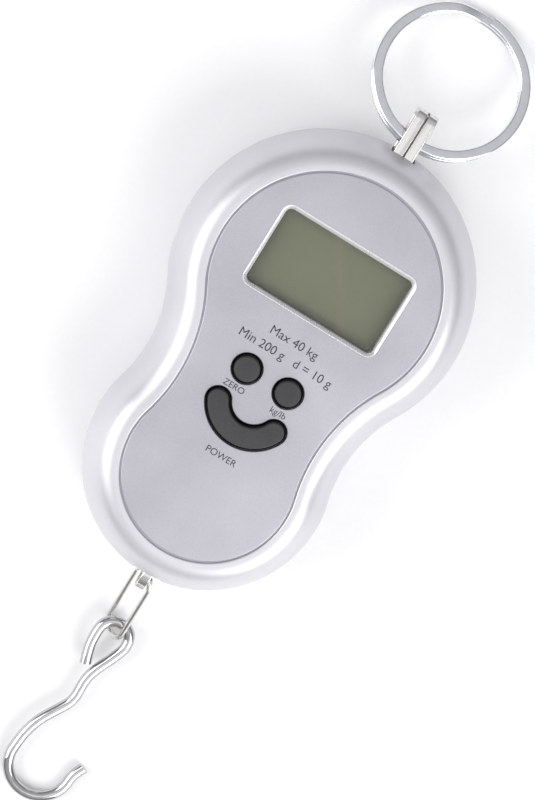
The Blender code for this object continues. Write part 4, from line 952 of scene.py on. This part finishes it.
for side in (-1, 1):
    x = side * tongue_x
    steps.append(cut(boxed(f"tongue_room_{side + 2}",
                           (x - tongue_half - gap, door_low_end - tongue_reach - 3 * gap,
                            tongue_low - gap),
                           (x + tongue_half + gap, door_low_end + 2 * tongue_root, 5 * mm))))
    x = side * tab_x
    steps.append(cut(boxed(f"tab_room_{side + 2}",
                           (x - tab_half, bay_low - gap, bay_ceiling - over),
                           (x + tab_half, bay_low + 1.1 * mm, bay_roof + over))))
sculpt(rear_casing, [*steps, *mouths()])
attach(rear_casing, "root")
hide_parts("rear_shell")

# %% [markdown]
# The door is a plate with a soft outer edge, two tongues that hook under the casing and a latch with a
# nib. Four grooves near the latch give a thumb its grip.

# %% Battery door
def door_ring(inset, z):
    edge = rounded(0, door_middle, 2 * (door_half - inset), door_long - 2 * inset, door_corner - inset, 10)
    return [(x, y, z) for x, y in edge]


soft = 0.3 * mm
door_rings = [door_ring(soft * (1 - sin(a)), soft * (1 - cos(a))) for a in [pi / 2 * i / 5 for i in range(6)]]
door_plate = add("door_plate", loft("door_plate", door_rings + [door_ring(0, door_thick)]), shell_paint)
steps = []
for side in (-1, 1):
    x = side * tongue_x
    steps.append(join(boxed(f"tongue_{side + 2}",
                            (x - tongue_half, door_low_end - tongue_reach, tongue_low),
                            (x + tongue_half, door_low_end + tongue_root, tongue_high))))
latch_face, nib_low, nib_high = 9 * mm, 3.8 * mm, 4.6 * mm
steps += [
    join(boxed("latch", (-latch_half, latch_back, latch_low), (latch_half, latch_face, latch_top))),
    join(boxed("nib", (-latch_half, latch_face - 2 * gap, nib_low), (latch_half, door_top, nib_high))),
]
grip_half, grip_wide, grip_deep, grip_pitch = 5 * mm, 0.8 * mm, 0.4 * mm, 1.5 * mm
for i in range(4):
    y = door_top - 2 * grip_pitch - i * grip_pitch
    steps.append(cut(boxed(f"grip_{i + 1}", (-grip_half, y - grip_wide / 2, -over),
                           (grip_half, y + grip_wide / 2, grip_deep))))
sculpt(door_plate, steps)
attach(door_plate, "battery_door")
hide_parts("battery_door")

# %% [markdown]
# Four equal screws hold the halves together. One screw is built with its crown and cross recess, and
# a Geometry Nodes tree sets a copy on each point and makes the copies real.

# %% Screws
screw_low, screw_seat, screw_tip = 2.1 * mm, 3.7 * mm, 18.0 * mm
cross_half, cross_long, cross_top = 0.3 * mm, 1.5 * mm, screw_low + 0.9 * mm
profile = [(0.2, screw_low), (1.2, screw_low + 0.06 * mm), (2.0, screw_low + 0.3 * mm),
           (2.45, screw_low + 0.7 * mm), (2.6, screw_low + 1.1 * mm), (2.6, screw_seat), (1.3, screw_seat),
           (1.3, screw_tip - 2 * mm), (0.3, screw_tip)]
rings = [[(x * mm, y * mm, z) for x, y in arc(0, 0, r, 0, 2 * pi, 40)[:-1]] for r, z in profile]
screw = add("screw_form", loft("screw_form", rings), inner_steel)
sculpt(screw, [
    cut(boxed("recess_a", (-cross_long, -cross_half, 0), (cross_long, cross_half, cross_top))),
    cut(boxed("recess_b", (-cross_half, -cross_long, 0), (cross_half, cross_long, cross_top))),
])
spots = bpy.data.meshes.new("screw_spots")
spots.from_pydata([(x, y, 0) for x, y in screw_places], [], [])
casing_screws = add("casing_screws", spots)
row = bpy.data.node_groups.new("Set of screws", "GeometryNodeTree")
row.interface.new_socket("Spots", in_out="INPUT", socket_type="NodeSocketGeometry")
row.interface.new_socket("Screw", in_out="INPUT", socket_type="NodeSocketObject")
row.interface.new_socket("Turn Apart", in_out="INPUT", socket_type="NodeSocketFloat").default_value = 0.7
row.interface.new_socket("Finish", in_out="INPUT", socket_type="NodeSocketMaterial")
row.interface.new_socket("Screws", in_out="OUTPUT", socket_type="NodeSocketGeometry")
given = row.nodes.new("NodeGroupInput").outputs
form = node(row, "GeometryNodeObjectInfo", {"Object": given["Screw"]})
index = row.nodes.new("GeometryNodeInputIndex")
spun = node(row, "ShaderNodeCombineXYZ", {"Z": math(row, "MULTIPLY", index.outputs[0], given["Turn Apart"])})
copies = node(row, "GeometryNodeInstanceOnPoints", {
    "Points": given["Spots"], "Instance": form.outputs["Geometry"], "Rotation": spun.outputs[0]})
real = node(row, "GeometryNodeRealizeInstances", {"Geometry": copies.outputs[0]})
coated = node(row, "GeometryNodeSetMaterial", {"Geometry": real.outputs[0], "Material": given["Finish"]})
row.links.new(coated.outputs[0], row.nodes.new("NodeGroupOutput").inputs[0])
mesh = grown(casing_screws, "set of screws", row, {"Screw": screw, "Turn Apart": 0.7, "Finish": inner_steel})
casing_screws.modifiers.clear()
casing_screws.data = mesh
bpy.data.objects.remove(screw)
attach(casing_screws, "root")
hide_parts("shell_screw_1", "shell_screw_2", "shell_screw_3", "shell_screw_4")
print("screws", len(mesh.polygons), "faces")

# %% [markdown]
# ## Table, light and camera
# The table is a plain pale sheet under the scale. Two large soft lights give the rim its long
# highlights, one from the left and one from the lower right, and a weaker one overhead fills the face.

# %% Table
table_top = add("table_top", boxed("table_top", (-3, -3, -0.02), (3, 3, -0.02 * mm)), finish(
    "matt white card", grain, {"Scale": 700.0, "Cloud": 8.0, "Cloud Share": 0.5}, (0.88, 0.88, 0.88),
    (0.92, 0.92, 0.92), 0.6, 0.75, bump=0.05, Emission_Color=(1, 1, 1, 1), Emission_Strength=0.06))

# %% Camera
target = Vector((3.8, -8.1, 11.5)) * mm
back = Vector((-0.1, 0.1, 1.0)).normalized()
upward = Vector((-sin(radians(31.8)), cos(radians(31.8)), 0))
upward = (upward - back * upward.dot(back)).normalized()
right = upward.cross(back)
camera = bpy.data.objects.new("camera", bpy.data.cameras.new("camera"))
work.objects.link(camera)
distance, view_height = 0.9, 0.186
turned = Matrix((right, upward, back)).transposed().to_4x4()
camera.matrix_world = Matrix.Translation(target + back * distance) @ turned
camera.data.lens = camera.data.sensor_width * distance / view_height
camera.data.clip_start, camera.data.clip_end = 0.01, 20
bpy.context.scene.camera = camera

# %% Lights
def softbox(name, across, along, towards, size, power):
    """A square soft light placed by the view's right, up and back directions, aimed at the scale."""
    lamp = bpy.data.lights.new(name, "AREA")
    lamp.shape, lamp.size, lamp.energy = "SQUARE", size, power
    made = bpy.data.objects.new(name, lamp)
    work.objects.link(made)
    place_at = target + right * across + upward * along + back * towards
    facing = (place_at - target).to_track_quat("Z", "Y")
    made.matrix_world = Matrix.Translation(place_at) @ facing.to_matrix().to_4x4()


softbox("left light", -0.8, 0.1, 0.6, 0.8, 6.2)
softbox("right light", 0.5, -0.75, 0.5, 0.8, 7.6)
softbox("top light", 0.0, -0.3, 1.2, 0.7, 0.9)
world = bpy.data.worlds.new("studio")
world.use_nodes = True
tree = world.node_tree
way = node(tree, "ShaderNodeSeparateXYZ", {0: tree.nodes.new("ShaderNodeTexCoord").outputs["Generated"]})
height = ramp(tree, way.outputs["Z"], 0.0, 0.8)
sky = node(tree, "ShaderNodeMix",
           {0: height, 6: (0.16, 0.16, 0.17, 1), 7: (0.62, 0.62, 0.65, 1)}, data_type="RGBA")
tree.links.new(sky.outputs[2], tree.nodes["Background"].inputs["Color"])
bpy.context.scene.world = world
bpy.context.scene.view_settings.view_transform = "Standard"
